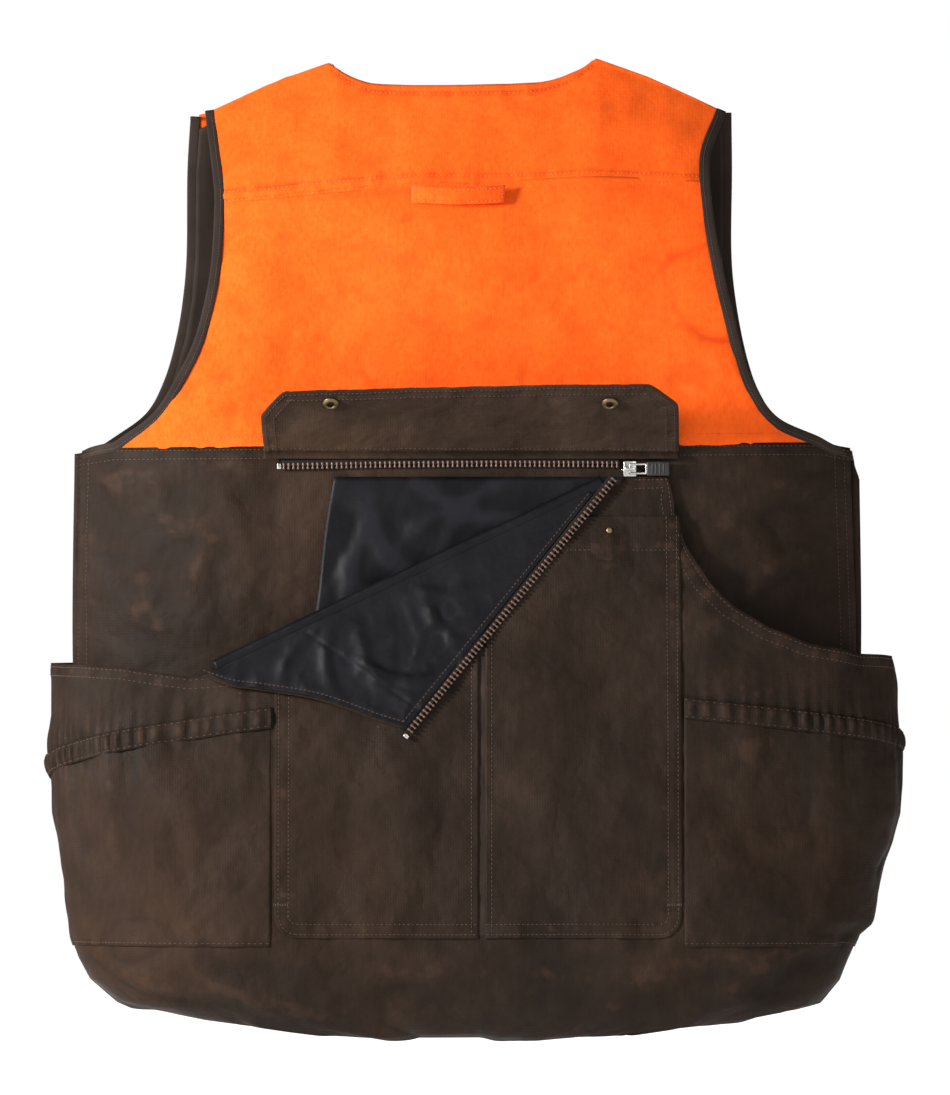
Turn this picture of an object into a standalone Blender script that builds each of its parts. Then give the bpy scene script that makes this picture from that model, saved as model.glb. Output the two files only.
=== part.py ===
"""An upland vest with a zipped game bag on its back, held at the shoulders.

Z is up, with 0 at the points where the neck meets the shoulders. The back of the vest faces -Y, and
+X is the wearer's right. Lengths below are in millimetres, and the meshes are made in metres.
"""

import math

import bpy
import numpy as np

for old in list(bpy.data.objects):
    bpy.data.objects.remove(old, do_unlink=True)

MM = 0.001
CLOTH = 0.7
LINING = (-1.2, -0.6)
LINER_H = (0.0, 0.4)
PANEL_H = (0.7, 1.4)
POCKET_H = (1.7, 2.4)
STUD_H = 2.65
GAP = 0.3
SHELL_H = 1.6
BACK_DEPTH = 50.0
FRONT_DEPTH = 50.0
FLAT_SHARE = 0.55
SHOULDER_DROP = 150.0
SHELL_FACE = BACK_DEPTH + SHELL_H + CLOTH

ZIP_Z = -303.0
CHAIN_Y = -56.0
PITCH = 3.6
TOOTH = 1.6
CHAIN_LEFT = -138.0
CHAIN_RIGHT = 126.0

BAG_X = 8.0
BAG_FLAT = 155.0
BAG_TOP = 54.95
BAG_SLOPE = 0.12
BAG_TURN = -655.0
BAG_HEM = -727.0
HEM_OUT = 58.5

FOLD_A = (117.0, -304.7)
FOLD_ANGLE = 25.4
FOLD_H = 3.9

ORANGE = (0.98, 0.2, 0.03)
WAXED = (0.055, 0.038, 0.027)
BINDING = (0.03, 0.02, 0.015)
NYLON = (0.035, 0.035, 0.042)
TEETH = (0.11, 0.065, 0.045)
BRASS = (0.35, 0.22, 0.1)
NICKEL = (0.62, 0.6, 0.57)
RUBBER = (0.012, 0.011, 0.01)
COLOURS = {}


def along(points, at):
    """The height of a line of (x, z) points at x."""
    xs, zs = zip(*points)
    return float(np.interp(at, xs, zs))


def width_at(z):
    """Half the width of the body."""
    zs = (-700, -676, -650, -620, -560, -440, -291, 50)
    return float(np.interp(z, zs, (236, 246, 268, 281, 290, 291, 288, 288)))


def body_depth(x, z):
    """How far the body cloth lies from the middle plane, 0 to BACK_DEPTH."""
    u = min(abs(x) / width_at(z), 1.0)
    side = 1.0 - max(0.0, (u - FLAT_SHARE) / (1.0 - FLAT_SHARE)) ** 2.2
    shoulder = along(((0, 4), (98, 2), (150, -17), (196, -38)), abs(x))
    drop = min(max((shoulder - z) / SHOULDER_DROP, 0.0), 1.0)
    low = np.interp(z, (-710, -600), (0.84, 1.0))
    return 0.5 + (BACK_DEPTH - 0.5) * side * (1.0 - (1.0 - drop) ** 2) * low


def back(x, z):
    return np.array((x, -body_depth(x, z), z))


def front(x, z):
    return np.array((x, body_depth(x, z), z))


def bag_plane(z):
    return BAG_TOP + BAG_SLOPE * (ZIP_Z - z)


def bag_out(z):
    """How far the middle of the bag stands from the middle plane."""
    if z > BAG_TURN:
        return bag_plane(z)
    turn = min((BAG_TURN - z) / (BAG_TURN - BAG_HEM), 1.0)
    return HEM_OUT + (bag_plane(BAG_TURN) - HEM_OUT) * math.sqrt(1.0 - turn**2)


def bag_width(z, side):
    zs = (-726, -714, -704, -699, -683, -667, -648, -640, -560, -500, -440, -300)
    right = (112, 205, 247, 263, 276, 282, 291, 300, 320, 319, 318, 316)
    left = (112, 205, 243, 256, 274, 282, 288, 291, 309, 311, 311, 310)
    return float(np.interp(z, zs, right if side > 0 else left))


def bag(angle, z, side):
    """A point on the bag: angle 0 is the edge of its flat middle, 90 its widest line."""
    wide = bag_width(z, side)
    flat = min(BAG_FLAT, 0.8 * wide) + side * BAG_X
    reach = wide - flat
    seam = min(width_at(z) + 5.0, wide * 0.998)
    last = 180.0 - math.degrees(math.asin(min((seam - flat) / reach, 1.0)))
    turn = math.radians(angle / 120.0 * last)
    deep = (bag_out(z) - 3.0) / (1.0 - math.cos(math.radians(last)))
    y = -(3.0 - deep * math.cos(math.radians(last))) - deep * math.cos(turn)
    return np.array((side * (flat + reach * math.sin(turn)), y, z))


def middle(x, z):
    return np.array((x, -bag_out(z), z))


def patch(place, top, bottom, left, right, us, vs):
    """A grid of points over a patch of cloth bounded by four lines of (x, z)."""

    def walk(line, t, axis):
        line = np.array(line, float)
        if axis is None:
            far = np.concatenate([[0], np.cumsum(np.hypot(*np.diff(line, axis=0).T))])
            return np.array([np.interp(t * far[-1], far, line[:, k]) for k in (0, 1)])
        at = line[0, axis] + t * (line[-1, axis] - line[0, axis])
        order = np.argsort(line[:, axis])
        return np.array([np.interp(at, line[order, axis], line[order, k]) for k in (0, 1)])

    left = [top[0], *left[1:-1], bottom[0]]
    right = [top[-1], *right[1:-1], bottom[-1]]
    corners = [np.array(p, float) for p in (top[0], top[-1], bottom[0], bottom[-1])]
    grid = []
    for v in vs:
        row = []
        for u in us:
            across = (1 - v) * walk(top, u, 0) + v * walk(bottom, u, 0)
            down = (1 - u) * walk(left, v, None) + u * walk(right, v, None)
            flat = (1 - v) * ((1 - u) * corners[0] + u * corners[1])
            flat = flat + v * ((1 - u) * corners[2] + u * corners[3])
            row.append(place(*(across + down - flat)))
        grid.append(row)
    return np.array(grid)


def grid_normals(grid, outward):
    du = np.gradient(grid, axis=1)
    dv = np.gradient(grid, axis=0)
    n = np.cross(du, dv)
    n /= np.linalg.norm(n, axis=2, keepdims=True) + 1e-12
    if (n * np.array(outward)).sum() < 0:
        n = -n
    return n


def mesh_object(name, points, faces, colour, rough=0.8, metal=0.0):
    points = np.asarray(points, float)
    area = 0.0
    for face in faces:
        for k in range(1, len(face) - 1):
            a, b, c = points[face[0]], points[face[k]], points[face[k + 1]]
            area += float(np.dot(a, np.cross(b, c)))
    if area < 0:
        faces = [tuple(reversed(face)) for face in faces]
    mesh = bpy.data.meshes.new(name)
    mesh.from_pydata([tuple(p * MM) for p in points], [], [tuple(f) for f in faces])
    mesh.update()
    made = bpy.data.objects.new(name, mesh)
    bpy.context.scene.collection.objects.link(made)
    material = bpy.data.materials.new(name)
    material.use_nodes = True
    shader = material.node_tree.nodes["Principled BSDF"]
    shader.inputs["Base Color"].default_value = (*colour, 1.0)
    shader.inputs["Roughness"].default_value = rough
    shader.inputs["Metallic"].default_value = metal
    mesh.materials.append(material)
    return made


def between(name, inner, outer, colour, **kind):
    """A sheet with two faces given as grids of points."""
    rows, cols = inner.shape[:2]
    points = np.concatenate([inner.reshape(-1, 3), outer.reshape(-1, 3)])
    half = rows * cols
    faces = []
    for j in range(rows - 1):
        for i in range(cols - 1):
            a = j * cols + i
            faces.append((a, a + 1, a + cols + 1, a + cols))
            faces.append((half + a, half + a + cols, half + a + cols + 1, half + a + 1))
    rim = [i for i in range(cols)]
    rim += [j * cols + cols - 1 for j in range(1, rows)]
    rim += [(rows - 1) * cols + i for i in range(cols - 2, -1, -1)]
    rim += [j * cols for j in range(rows - 2, 0, -1)]
    for a, b in zip(rim, rim[1:] + rim[:1]):
        faces.append((b, a, half + a, half + b))
    return mesh_object(name, points, faces, colour, **kind)


def cloth(name, grid, low, high, outward, colour, normal=None, **kind):
    n = grid_normals(grid, outward) if normal is None else np.array(normal)
    return between(name, grid + n * low, grid + n * high, colour, **kind)


def block(name, low, high, colour, **kind):
    (x0, y0, z0), (x1, y1, z1) = low, high
    inner = np.array([[(x, y0, z) for x in (x0, x1)] for z in (z0, z1)], float)
    outer = np.array([[(x, y1, z) for x in (x0, x1)] for z in (z0, z1)], float)
    return between(name, inner, outer, colour, **kind)


def turned(name, profile, centre, axis, up, colour, sides=14, **kind):
    """A solid of revolution. profile is (radius, height) from the axis at its base to the axis at its top."""
    axis = np.array(axis, float) / np.linalg.norm(axis)
    side = np.cross(axis, up)
    side /= np.linalg.norm(side)
    other = np.cross(axis, side)
    points = []
    for radius, height in profile:
        for k in range(sides):
            a = 2 * math.pi * k / sides
            points.append(centre + axis * height + radius * (side * math.cos(a) + other * math.sin(a)))
    faces = []
    for ring in range(len(profile) - 1):
        for k in range(sides):
            a, b = ring * sides + k, ring * sides + (k + 1) % sides
            faces.append((a, b, b + sides, a + sides))
    if profile[0] != profile[-1]:
        faces.append(tuple(reversed(range(sides))))
        faces.append(tuple(range((len(profile) - 1) * sides, len(profile) * sides)))
        return mesh_object(name, points, faces, colour, **kind)
    last = len(profile) - 1
    kept = points[: last * sides]
    faces = [tuple(i % (last * sides) for i in face) for face in faces]
    return mesh_object(name, kept, faces, colour, **kind)


def spin(points, centre, axis, degrees):
    """Points turned about a line."""
    axis = np.array(axis, float) / np.linalg.norm(axis)
    c, s = math.cos(math.radians(degrees)), math.sin(math.radians(degrees))
    p = np.asarray(points, float) - centre
    turned_points = p * c + np.cross(axis, p) * s + np.outer(p @ axis, axis).reshape(p.shape) * (1 - c)
    return turned_points + centre


def turn_mesh(made, centre, axis, degrees):
    """The object's mesh turned about a line, with the object's origin left on that line."""
    mesh = made.data
    flat = np.array([v.co[:] for v in mesh.vertices]) / MM
    for vertex, point in zip(mesh.vertices, spin(flat, centre, axis, degrees)):
        vertex.co = tuple((point - centre) * MM)
    made.location = tuple(np.array(centre) * MM)
    mesh.update()


def set_origin(made, centre):
    turn_mesh(made, np.array(centre, float), (0, 0, 1), 0.0)


# ---- The back of the body

U13 = (0, 0.05, 0.1, 0.15, 0.2, 0.245, 0.42, 0.58, 0.755, 0.8, 0.85, 0.9, 0.95, 1)
NECK = ((-104, 0), (-90, -8), (-72, -14.5), (-40, -16), (0, -16), (40, -14.5), (62, -12), (84, -4), (97, 3))
BACK_TOP = ((-190, -36), *NECK, (136, -10), (166, -25), (188, -35))
YOKE = ((-182, -104), (-144, -101), (-88, -95.5), (-41, -92), (28, -92), (96, -89), (175, -92))
UPPER_LEFT = ((-182, -104), (-183, -130), (-186, -162), (-196, -205), (-211, -237), (-230, -266), (-262, -289))
UPPER_RIGHT = ((175, -92), (179, -125), (186, -162), (197, -200), (208, -231), (223, -255), (262, -283))


def lower(line, by):
    return [(x, z - by) for x, z in line]


yoke = patch(back, BACK_TOP, lower(YOKE, -0.4), ((-190, -36), (-183, -88), (-182, -103.6)),
             ((188, -35), (176, -65), (175, -91.6)), U13, (0, 0.34, 0.67, 1))
cloth("back_yoke", yoke, SHELL_H, SHELL_H + CLOTH, (0, -1, 0), ORANGE)
upper = patch(back, lower(YOKE, 0), ((-262, -289), (262, -285)), UPPER_LEFT, (*UPPER_RIGHT[:-1], (262, -285)),
              U13, (0, 0.2, 0.4, 0.6, 0.8, 1))
cloth("back_upper", upper, SHELL_H, SHELL_H + CLOTH, (0, -1, 0), ORANGE)
LOW_TOP = ((-289, -297), (-262, -289.6), (262, -285.6), (286, -292))
HEM = ((-236, -678), (-190, -695), (-120, -703), (0, -706), (120, -703), (190, -695), (236, -678))
SIDE_L = ((-289, -297), (-291, -440), (-290, -560), (-281, -620), (-262, -655), (-236, -678))
SIDE_R = ((286, -292), (291, -440), (290, -560), (281, -620), (262, -655), (236, -678))
low_grid = patch(back, LOW_TOP, HEM, SIDE_L, SIDE_R, U13, (0, 0.25, 0.5, 0.68, 0.8, 0.9, 1))
cloth("back_lower", low_grid, SHELL_H, SHELL_H + CLOTH, (0, -1, 0), WAXED)
INSET_L = [(x + 8, z) for x, z in SIDE_L[1:]]
INSET_R = [(x - 8, z) for x, z in SIDE_R[1:]]
lining_left = ((-190, -38), (-183, -88), *UPPER_LEFT[1:], (-278, -304), *INSET_L)
lining_right = ((188, -37), (176, -65), (176, -92), *UPPER_RIGHT[1:], (276, -300), *INSET_R)
inner_hem = ((-228, -678), *[(x, z + 5) for x, z in HEM[1:-1]], (228, -678))
lining = patch(back, lower(BACK_TOP, 9), inner_hem, lining_left, lining_right, U13,
               (0, 0.04, 0.08, 0.13, 0.18, 0.26, 0.36, 0.48, 0.6, 0.72, 0.82, 0.9, 0.95, 1))
cloth("back_lining", lining, *LINING, (0, -1, 0), BINDING)

neck_mid = [(x, z) for x, z in NECK if abs(x) < 98]
neck_low = [(x * 0.98, z - 24) for x, z in neck_mid]
facing = patch(back, lower(neck_mid, 3), neck_low, (neck_mid[0], neck_low[0]), (neck_mid[-1], neck_low[-1]),
               np.linspace(0, 1, 9), (0, 1))
cloth("neck_facing", facing, -3.4, -2.7, (0, -1, 0), ORANGE)

loop = np.array([[(x, -body_depth(0, -104) - SHELL_H - CLOTH - 0.5 - 7.5 * math.sin(math.pi * t), z)
                  for t, x in zip(np.linspace(0, 1, 11), np.linspace(-41, 28, 11))] for z in (-91.5, -104)])
cloth("locker_loop", loop, 0.0, 1.2, (0, -1, 0), ORANGE)

# ---- The front of the body

FRONT_U = (0, 0.12, 0.24, 0.36, 0.48, 0.75, 1)
ARM_FRONT = ((-194, -38), (-193, -80), (-193, -140), (-199, -185), (-211, -225), (-233, -258), (-262, -288))
V_NECK = ((-98, -3), (-84, -52), (-52, -110), (-10, -152), (-6, -160), (-6, -288))
LOW_FRONT = ((-288, -297), (-262, -288.4), (-6, -288.4))
HEM_FRONT = ((-236, -676), (-190, -693), (-120, -701), (-6, -703))
PATCH_LEFT = ((-191, -42), (-189, -80), (-188, -136))
for side, hand in ((-1, "left"), (1, "right")):

    def wing(line, side=side):
        return [(-side * x, z) for x, z in line]

    def place(x, z, side=side):
        return front(x, z)

    top = ((-192, -37), (-166, -25), (-136, -10), (-100, 0), (-98, -3))
    grid = patch(place, wing(top), wing(((-262, -288), (-6, -288))), wing(((-192, -37), *ARM_FRONT[1:])),
                 wing(V_NECK), FRONT_U, np.linspace(0, 1, 9))
    upper_front = grid
    cloth(f"{hand}_front_upper", grid, SHELL_H, SHELL_H + CLOTH, (0, 1, 0), ORANGE)
    grid = patch(place, wing(LOW_FRONT), wing(HEM_FRONT), wing(SIDE_L), wing(((-6, -288.4), (-6, -703))),
                 FRONT_U, (0, 0.25, 0.5, 0.7, 0.82, 0.92, 1))
    cloth(f"{hand}_front_lower", grid, SHELL_H, SHELL_H + CLOTH, (0, 1, 0), WAXED)
    grid = patch(place, wing(lower(top, 9)), wing(((-228, -676), (-190, -688), (-120, -696), (-6, -698))),
                 wing(((-192, -38), *ARM_FRONT[1:], (-277, -304), *INSET_L)),
                 wing((*V_NECK[:-1], (-6, -700))), FRONT_U, (0, 0.06, 0.12, 0.2, 0.3, 0.42, 0.56, 0.7, 0.82, 0.9, 0.95, 1))
    cloth(f"{hand}_front_lining", grid, *LINING, (0, 1, 0), BINDING)
    pad = patch(place, wing(((-184, -44), (-100, -12))), wing(((-182, -186), (-66, -186))),
                wing(((-184, -44), (-183, -100), (-188, -150), (-188, -186))),
                wing(((-100, -12), (-92, -50), (-60, -118), (-60, -186))), np.linspace(0, 1, 7),
                np.linspace(0, 1, 7))
    cloth(f"{hand}_shoulder_patch", pad, SHELL_H + CLOTH + 1.2, SHELL_H + CLOTH + 3.0, (0, 1, 0), ORANGE)

    # The binding runs down the back edge of the armhole, under the arm and up the front edge.
    column = 0 if side < 0 else -1
    back_edge = [*yoke[:, column], *upper[1:, column]]
    under = [np.array((side * 292.0, 0.0, -291.5))]
    front_edge = list(upper_front[:, 0])[::-1]
    path = [*back_edge, *under, *front_edge]
    normals = [np.array((0.0, -1.0, 0.25))] + [np.array((0.0, -1.0, 0.0))] * (len(back_edge) - 1)
    normals.append(np.array((side * 1.0, 0.0, 0.0)))
    normals += [np.array((0.0, 1.0, 0.0))] * len(front_edge)
    path = np.array(path)
    away = np.zeros_like(path)
    middle_line = np.array((side * 330.0, 0.0, -130.0))
    for k in range(len(path)):
        tangent = path[(k + 1) % len(path)] - path[k - 1]
        tangent /= np.linalg.norm(tangent)
        normal = normals[k] / np.linalg.norm(normals[k])
        out = np.cross(tangent, normal)
        out /= np.linalg.norm(out)
        if out @ (middle_line - path[k]) < 0:
            out = -out
        away[k] = out
        normals[k] = np.cross(out, tangent)
        if normals[k] @ np.array((0, -1 if k < len(back_edge) else 1, 0)) < 0:
            normals[k] = -normals[k]
    normals = np.array(normals)
    normals[len(back_edge)] = (side, 0, 0.2)
    away[len(back_edge)] = (0, 0, 1)
    ring = []
    for w, h in ((1.2, 0.2), (6.4, 0.2), (6.4, 3.0), (1.2, 3.0)):
        ring.append(path + away * w + normals * h)
    ring = np.array(ring).transpose(1, 0, 2)
    count = len(path)
    faces = []
    for k in range(count):
        for c in range(4):
            a, b = k * 4 + c, k * 4 + (c + 1) % 4
            e = ((k + 1) % count) * 4
            faces.append((a, b, e + (c + 1) % 4, e + c))
    mesh_object(f"{hand}_armhole_binding", ring.reshape(-1, 3), faces, BINDING)


# ---- Zip chains: each is one comb of teeth on its tape

def comb(name, start, end, edge, tip, tape, thick, tape_thick, pitch, y, offset, colour, along_z=False):
    """Teeth from edge to tip and a tape from edge to tape, all in the plane at depth y."""
    count = int((end - start - offset) // pitch)
    xs = []
    for k in range(count):
        left = start + offset + k * pitch
        xs += [left, left + pitch * 0.46]
    points = []
    faces = []
    sign = 1 if tip > edge else -1

    def ring(x, high):
        half, thin = thick / 2, tape_thick / 2
        line = [(tape, -thin), (edge, -thin), (edge, -half), (high, -half), (high, half), (edge, half),
                (edge, thin), (tape, thin)]
        rows = []
        for w, h in line:
            rows.append((w, y + h, x) if along_z else (x, y + h, w))
        return rows

    low = edge + sign * 0.5
    stations = [(start, low)]
    for left, right in zip(xs[::2], xs[1::2]):
        stations += [(left, low), (left, tip), (right, tip), (right, low)]
    stations.append((end, low))
    for x, high in stations:
        points += ring(x, high)
    for s in range(len(stations) - 1):
        same = abs(stations[s][0] - stations[s + 1][0]) < 1e-6
        for c in range(8):
            if same and c not in (2, 3, 4):
                continue
            a, b = s * 8 + c, s * 8 + (c + 1) % 8
            faces.append((a, b, b + 8, a + 8))
    # Points that two stations share are made one.
    keys = {}
    index = []
    kept = []
    for p in points:
        key = tuple(round(v, 5) for v in p)
        if key not in keys:
            keys[key] = len(kept)
            kept.append(p)
        index.append(keys[key])
    joined = []
    for face in faces:
        face = [index[i] for i in face]
        clean = [f for k, f in enumerate(face) if f != face[k - 1]]
        if len(set(clean)) > 2:
            joined.append(tuple(clean))
    last = (len(stations) - 1) * 8
    joined.append(tuple(index[i] for i in reversed(range(8))))
    joined.append(tuple(index[last + i] for i in range(8)))
    return mesh_object(name, kept, joined, colour, rough=0.5)


comb("bag_zip_upper_chain", CHAIN_LEFT, CHAIN_RIGHT, ZIP_Z + 4.2, ZIP_Z + 0.25, ZIP_Z + 11, 2.6, 0.8, PITCH,
     CHAIN_Y, 0.6, TEETH)
block("bag_zip_top_stop", (-141.2, CHAIN_Y - 1.2, ZIP_Z + 0.6), (-138.4, CHAIN_Y + 1.2, ZIP_Z + 4.6), NICKEL,
      rough=0.3, metal=1.0)

# ---- The game bag

US = (0, 0.12, 0.3, 0.5, 0.7, 0.88, 1)
fold_dir = np.array((-math.cos(math.radians(FOLD_ANGLE)), -math.sin(math.radians(FOLD_ANGLE))))


def fold_point(along_mm, off_mm):
    """(x, z) on the fold line of the bag mouth, off it by off_mm towards the zip."""
    at = np.array(FOLD_A) + fold_dir * along_mm + np.array((fold_dir[1], -fold_dir[0])) * off_mm
    return (float(at[0]), float(at[1]))


FOLD_END = 350.0
fixed_fold = [fold_point(296, -4), fold_point(150, -4), fold_point(6, -4)]
panel_top = [(-146.5, along(sorted(fixed_fold), -146.5)), fold_point(150, -4), fold_point(6, -4), (124, -309),
             (152, -309)]
bottom_mid = [(-146.5, -640), (162.5, -640)]
right_edge = ((152, -309), (154, -340), (162.5, -360), (162.5, -640))
left_edge = ((-146.5, panel_top[0][1]), (-146.5, -640))
PU = (0, 0.14, 0.3, 0.5, 0.68, 0.86, 1)
top_part = patch(middle, panel_top, bottom_mid, left_edge, right_edge, PU, (0, 0.35, 0.7, 1))
turn_rows = []
for z in (-655, -675, -693, -708, -718, -723.5):
    inset = 0.5 if z > -680 else 6.0
    flat_left = min(BAG_FLAT, 0.8 * bag_width(z, -1)) - BAG_X - inset
    flat_right = min(BAG_FLAT, 0.8 * bag_width(z, 1)) + BAG_X - inset
    turn_rows.append([middle(-flat_left + u * (flat_left + flat_right), z) for u in PU])
panel = np.concatenate([top_part, np.array(turn_rows)])
cloth("bag_center_panel", panel, *PANEL_H, (0, -1, 0), WAXED)

ANGLES = (0.6, 4, 16, 30, 45, 60, 75, 90, 105, 119)
OPEN_R = ((153, -340), (163, -358), (177, -384), (198, -406), (232, -426), (256, -436), (293, -441), (322, -443))
OPEN_L = ((-322, -448), (-256, -451), (-206, -458), (-170, -457), (-146, -440))
BAND_R = ((160, -473), (322, -500))
BAND_L = ((-306, -516), (-144, -480))
side_grids = {}
for side, hand in ((-1, "left"), (1, "right")):
    columns = []
    for angle in ANGLES:
        x = bag(min(angle, 90), -520, side)[0]
        opening = along(OPEN_R if side > 0 else OPEN_L, x)
        if side < 0 and angle < 8:
            opening = along(sorted(fixed_fold), x)
        band = along(BAND_R if side > 0 else BAND_L, x)
        last = float(np.interp(angle, (0, 30, 60, 90, 120), (-722, -716, -708, -699, -690)))
        zs = [opening, band, band - 16, -540, -590, -640, -660, -678, (last - 678) / 2, last + 4, last]
        columns.append([bag(angle, z, side) for z in zs])
    grid = np.array(columns).transpose(1, 0, 2)
    side_grids[hand] = grid
    normal = grid_normals(grid, (side * 0.3, -1, 0))
    between(f"bag_side_{hand}", grid + normal * PANEL_H[0], grid + normal * PANEL_H[1], WAXED)
    between(f"side_pocket_{hand}", (grid + normal * POCKET_H[0])[2:7, 1:], (grid + normal * POCKET_H[1])[2:7, 1:], WAXED)
    ridge = grid + normal * POCKET_H[0]
    crest = grid + normal * 4.0
    split = (ridge[2] - ridge[1]) * 0.02
    inner = np.array([ridge[1, 1:], ridge[2, 1:] - split[1:]])
    outer = np.array([crest[1, 1:], crest[2, 1:] - split[1:]])
    between(f"elastic_band_{hand}", inner, outer, BINDING)

# The rear pocket is two halves either side of a pleat.
POCKET_TOP = -338.0
left_top = [(-143, along(sorted(fixed_fold), -143)), fold_point(150, -4), fold_point(92, -4)]
slit_z = along(sorted(fixed_fold), 9.0)
half_top = [(-143, along(sorted(fixed_fold), -143)), (9, slit_z)]
grid = patch(middle, half_top, ((-134, -652), (9, -652)), ((-143, half_top[0][1]), (-143, -636), (-134, -652)),
             ((9, slit_z), (9, -652)), (0, 0.08, 0.5, 1), (0, 0.5, 0.93, 1))
cloth("rear_pocket_left", grid, *POCKET_H, (0, -1, 0), WAXED)
right_top = [(13, along(sorted(fixed_fold), 13)), (38, along(sorted(fixed_fold), 38)), (46, POCKET_TOP),
             (159, POCKET_TOP - 0.5)]
right_top[2] = (54, POCKET_TOP)
grid = patch(middle, right_top, ((13, -652), (151, -652)), ((13, right_top[0][1]), (13, -652)),
             ((159, POCKET_TOP - 0.5), (160, -636), (151, -652)), (0, 0.08, 0.2, 0.3, 0.6, 0.93, 1),
             (0, 0.5, 0.93, 1))
cloth("rear_pocket_right", grid, *POCKET_H, (0, -1, 0), WAXED)
grid = patch(middle, ((9.6, slit_z - 4), (12.4, slit_z - 4)), ((9.6, -650), (12.4, -650)),
             ((9.6, slit_z - 4), (9.6, -650)), ((12.4, slit_z - 4), (12.4, -650)), (0, 1), (0, 0.5, 1))
cloth("rear_pocket_pleat", grid, POCKET_H[0], POCKET_H[0] + 0.4, (0, -1, 0), BINDING)

# The liner lies on the back, turns at the bottom and comes up inside the panel.
liner_rows = []
LU = (0, 0.2, 0.4, 0.6, 0.8, 1)
for z in (-309, -420, -540, -640, -690, -708):
    half = np.interp(z, (-708, -640, -500), (118, 140, 143))
    liner_rows.append([(BAG_X - half + u * 2 * half, -SHELL_FACE - 0.6 - 0.2 * (z < -600), z) for u in LU])
for z in (-714, -708, -690, -655, -600):
    half = np.interp(z, (-708, -640, -500), (118, 140, 143))
    lift = -1.5 if z < -710 else 0.0
    liner_rows.append([(BAG_X - half + u * 2 * half, -bag_out(z) + 2.0 - lift, z) for u in LU])
final = []
for u in LU:
    x = BAG_X - 143 + u * 286
    z = min(along(sorted(fixed_fold), x), -318) - 8
    final.append((x, -bag_out(z), z))
mid_row = [(BAG_X - 142 + u * 284, -bag_out(-500), -500) for u in LU]
liner = np.array([*liner_rows, mid_row, final], float)
back_part = liner.copy()
normal = np.zeros_like(liner)
normal[:, :] = (0, -1, 0)
for row in (5, 6, 7):
    normal[row, :] = ((0, -0.7, 0.7), (0, 0, 1), (0, 0.7, 0.7))[row - 5]
for row in range(8, len(liner)):
    normal[row, :] = (0, 1, 0)
    liner[row, :, 1] += -0.1
between("bag_liner", liner, liner + normal * 0.55, NYLON)

# The corner of the mouth is made closed and then turned down about its fold line.
axis_dir = np.array((fold_dir[0], BAG_SLOPE * fold_dir[1], fold_dir[1]))
axis_dir /= np.linalg.norm(axis_dir)
plane_normal = np.array((0, -1.0, BAG_SLOPE)) / math.hypot(1.0, BAG_SLOPE)
fold_centre = middle(*FOLD_A) + plane_normal * FOLD_H


def corner(name, top, bottom, left, right, us, vs, low, high, colour, place=middle):
    grid = patch(place, top, bottom, left, right, us, vs)
    made = cloth(name, grid, low, high, (0, -1, 0), colour, normal=plane_normal)
    turn_mesh(made, fold_centre, axis_dir, 180.0)
    return made


OPENING = ((-137, -311), (-145, -331), (-153, -355), (-163, -379), (-182, -412), (-193, -430))
moving_fold = [fold_point(350, 4), fold_point(150, 4), fold_point(24, 4)]
corner("bag_mouth_panel", ((-137, -311), (97, -311)), moving_fold, (*OPENING, moving_fold[0]),
       ((97, -311), moving_fold[-1]), PU, (0, 0.5, 1), *PANEL_H, WAXED)
inner_fold = [fold_point(330, 4), fold_point(150, 4), fold_point(42, 4)]
corner("bag_mouth_liner", ((-133, -315), (58, -316)), inner_fold, ((-133, -315), (-149, -360), (-176, -412),
       inner_fold[0]), ((58, -316), inner_fold[-1]), PU, (0, 0.5, 1), *LINER_H, NYLON)
corner("rear_pocket_corner", ((-142, POCKET_TOP), (28, POCKET_TOP)), [fold_point(292, 4), fold_point(150, 4),
       fold_point(90, 4)], ((-142, POCKET_TOP), fold_point(292, 4)), ((28, POCKET_TOP), fold_point(90, 4)),
       PU, (0, 0.5, 1), *POCKET_H, WAXED)
comb_low = comb("bag_zip_lower_chain", CHAIN_LEFT, 104.0, ZIP_Z - 4.2, ZIP_Z - 0.25, ZIP_Z - 7.6, 1.6, 0.8,
                PITCH, CHAIN_Y, 16.2, TEETH)
turn_mesh(comb_low, fold_centre, axis_dir, 180.0)
stop_low = block("bag_zip_lower_stop", (-141.2, CHAIN_Y - 1.2, ZIP_Z - 4.6), (-138.4, CHAIN_Y + 1.2, ZIP_Z - 0.6),
                 NICKEL, rough=0.3, metal=1.0)
turn_mesh(stop_low, fold_centre, axis_dir, 180.0)

# ---- Snaps

CAP = ((5.6, 0.0), (5.6, 0.8), (4.2, 1.5), (1.5, 1.9))
SOCKET = ((2.8, 0.0), (6.1, 0.0), (6.1, 1.8), (5.0, 2.4), (2.8, 2.4), (2.8, 0.0))
STUD = ((4.8, 0.0), (4.8, 0.5), (2.0, 0.7), (1.7, 1.2), (2.2, 1.8), (1.5, 2.35))
METAL = {"rough": 0.35, "metal": 1.0}
STUD_Z = -349.4
SNAP_X = (-101.0, 106.0)
for side, hand, x in ((-1, "left", SNAP_X[0]), (1, "right", SNAP_X[1])):
    seat = middle(x, STUD_Z) + plane_normal * STUD_H
    stud = turned(f"bag_snap_stud_{hand}", STUD, seat, plane_normal, (1, 0, 0), BRASS, **METAL)
    if side < 0:
        turn_mesh(stud, fold_centre, axis_dir, 180.0)

# ---- The storm flap, made closed and then turned up about its root

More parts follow.
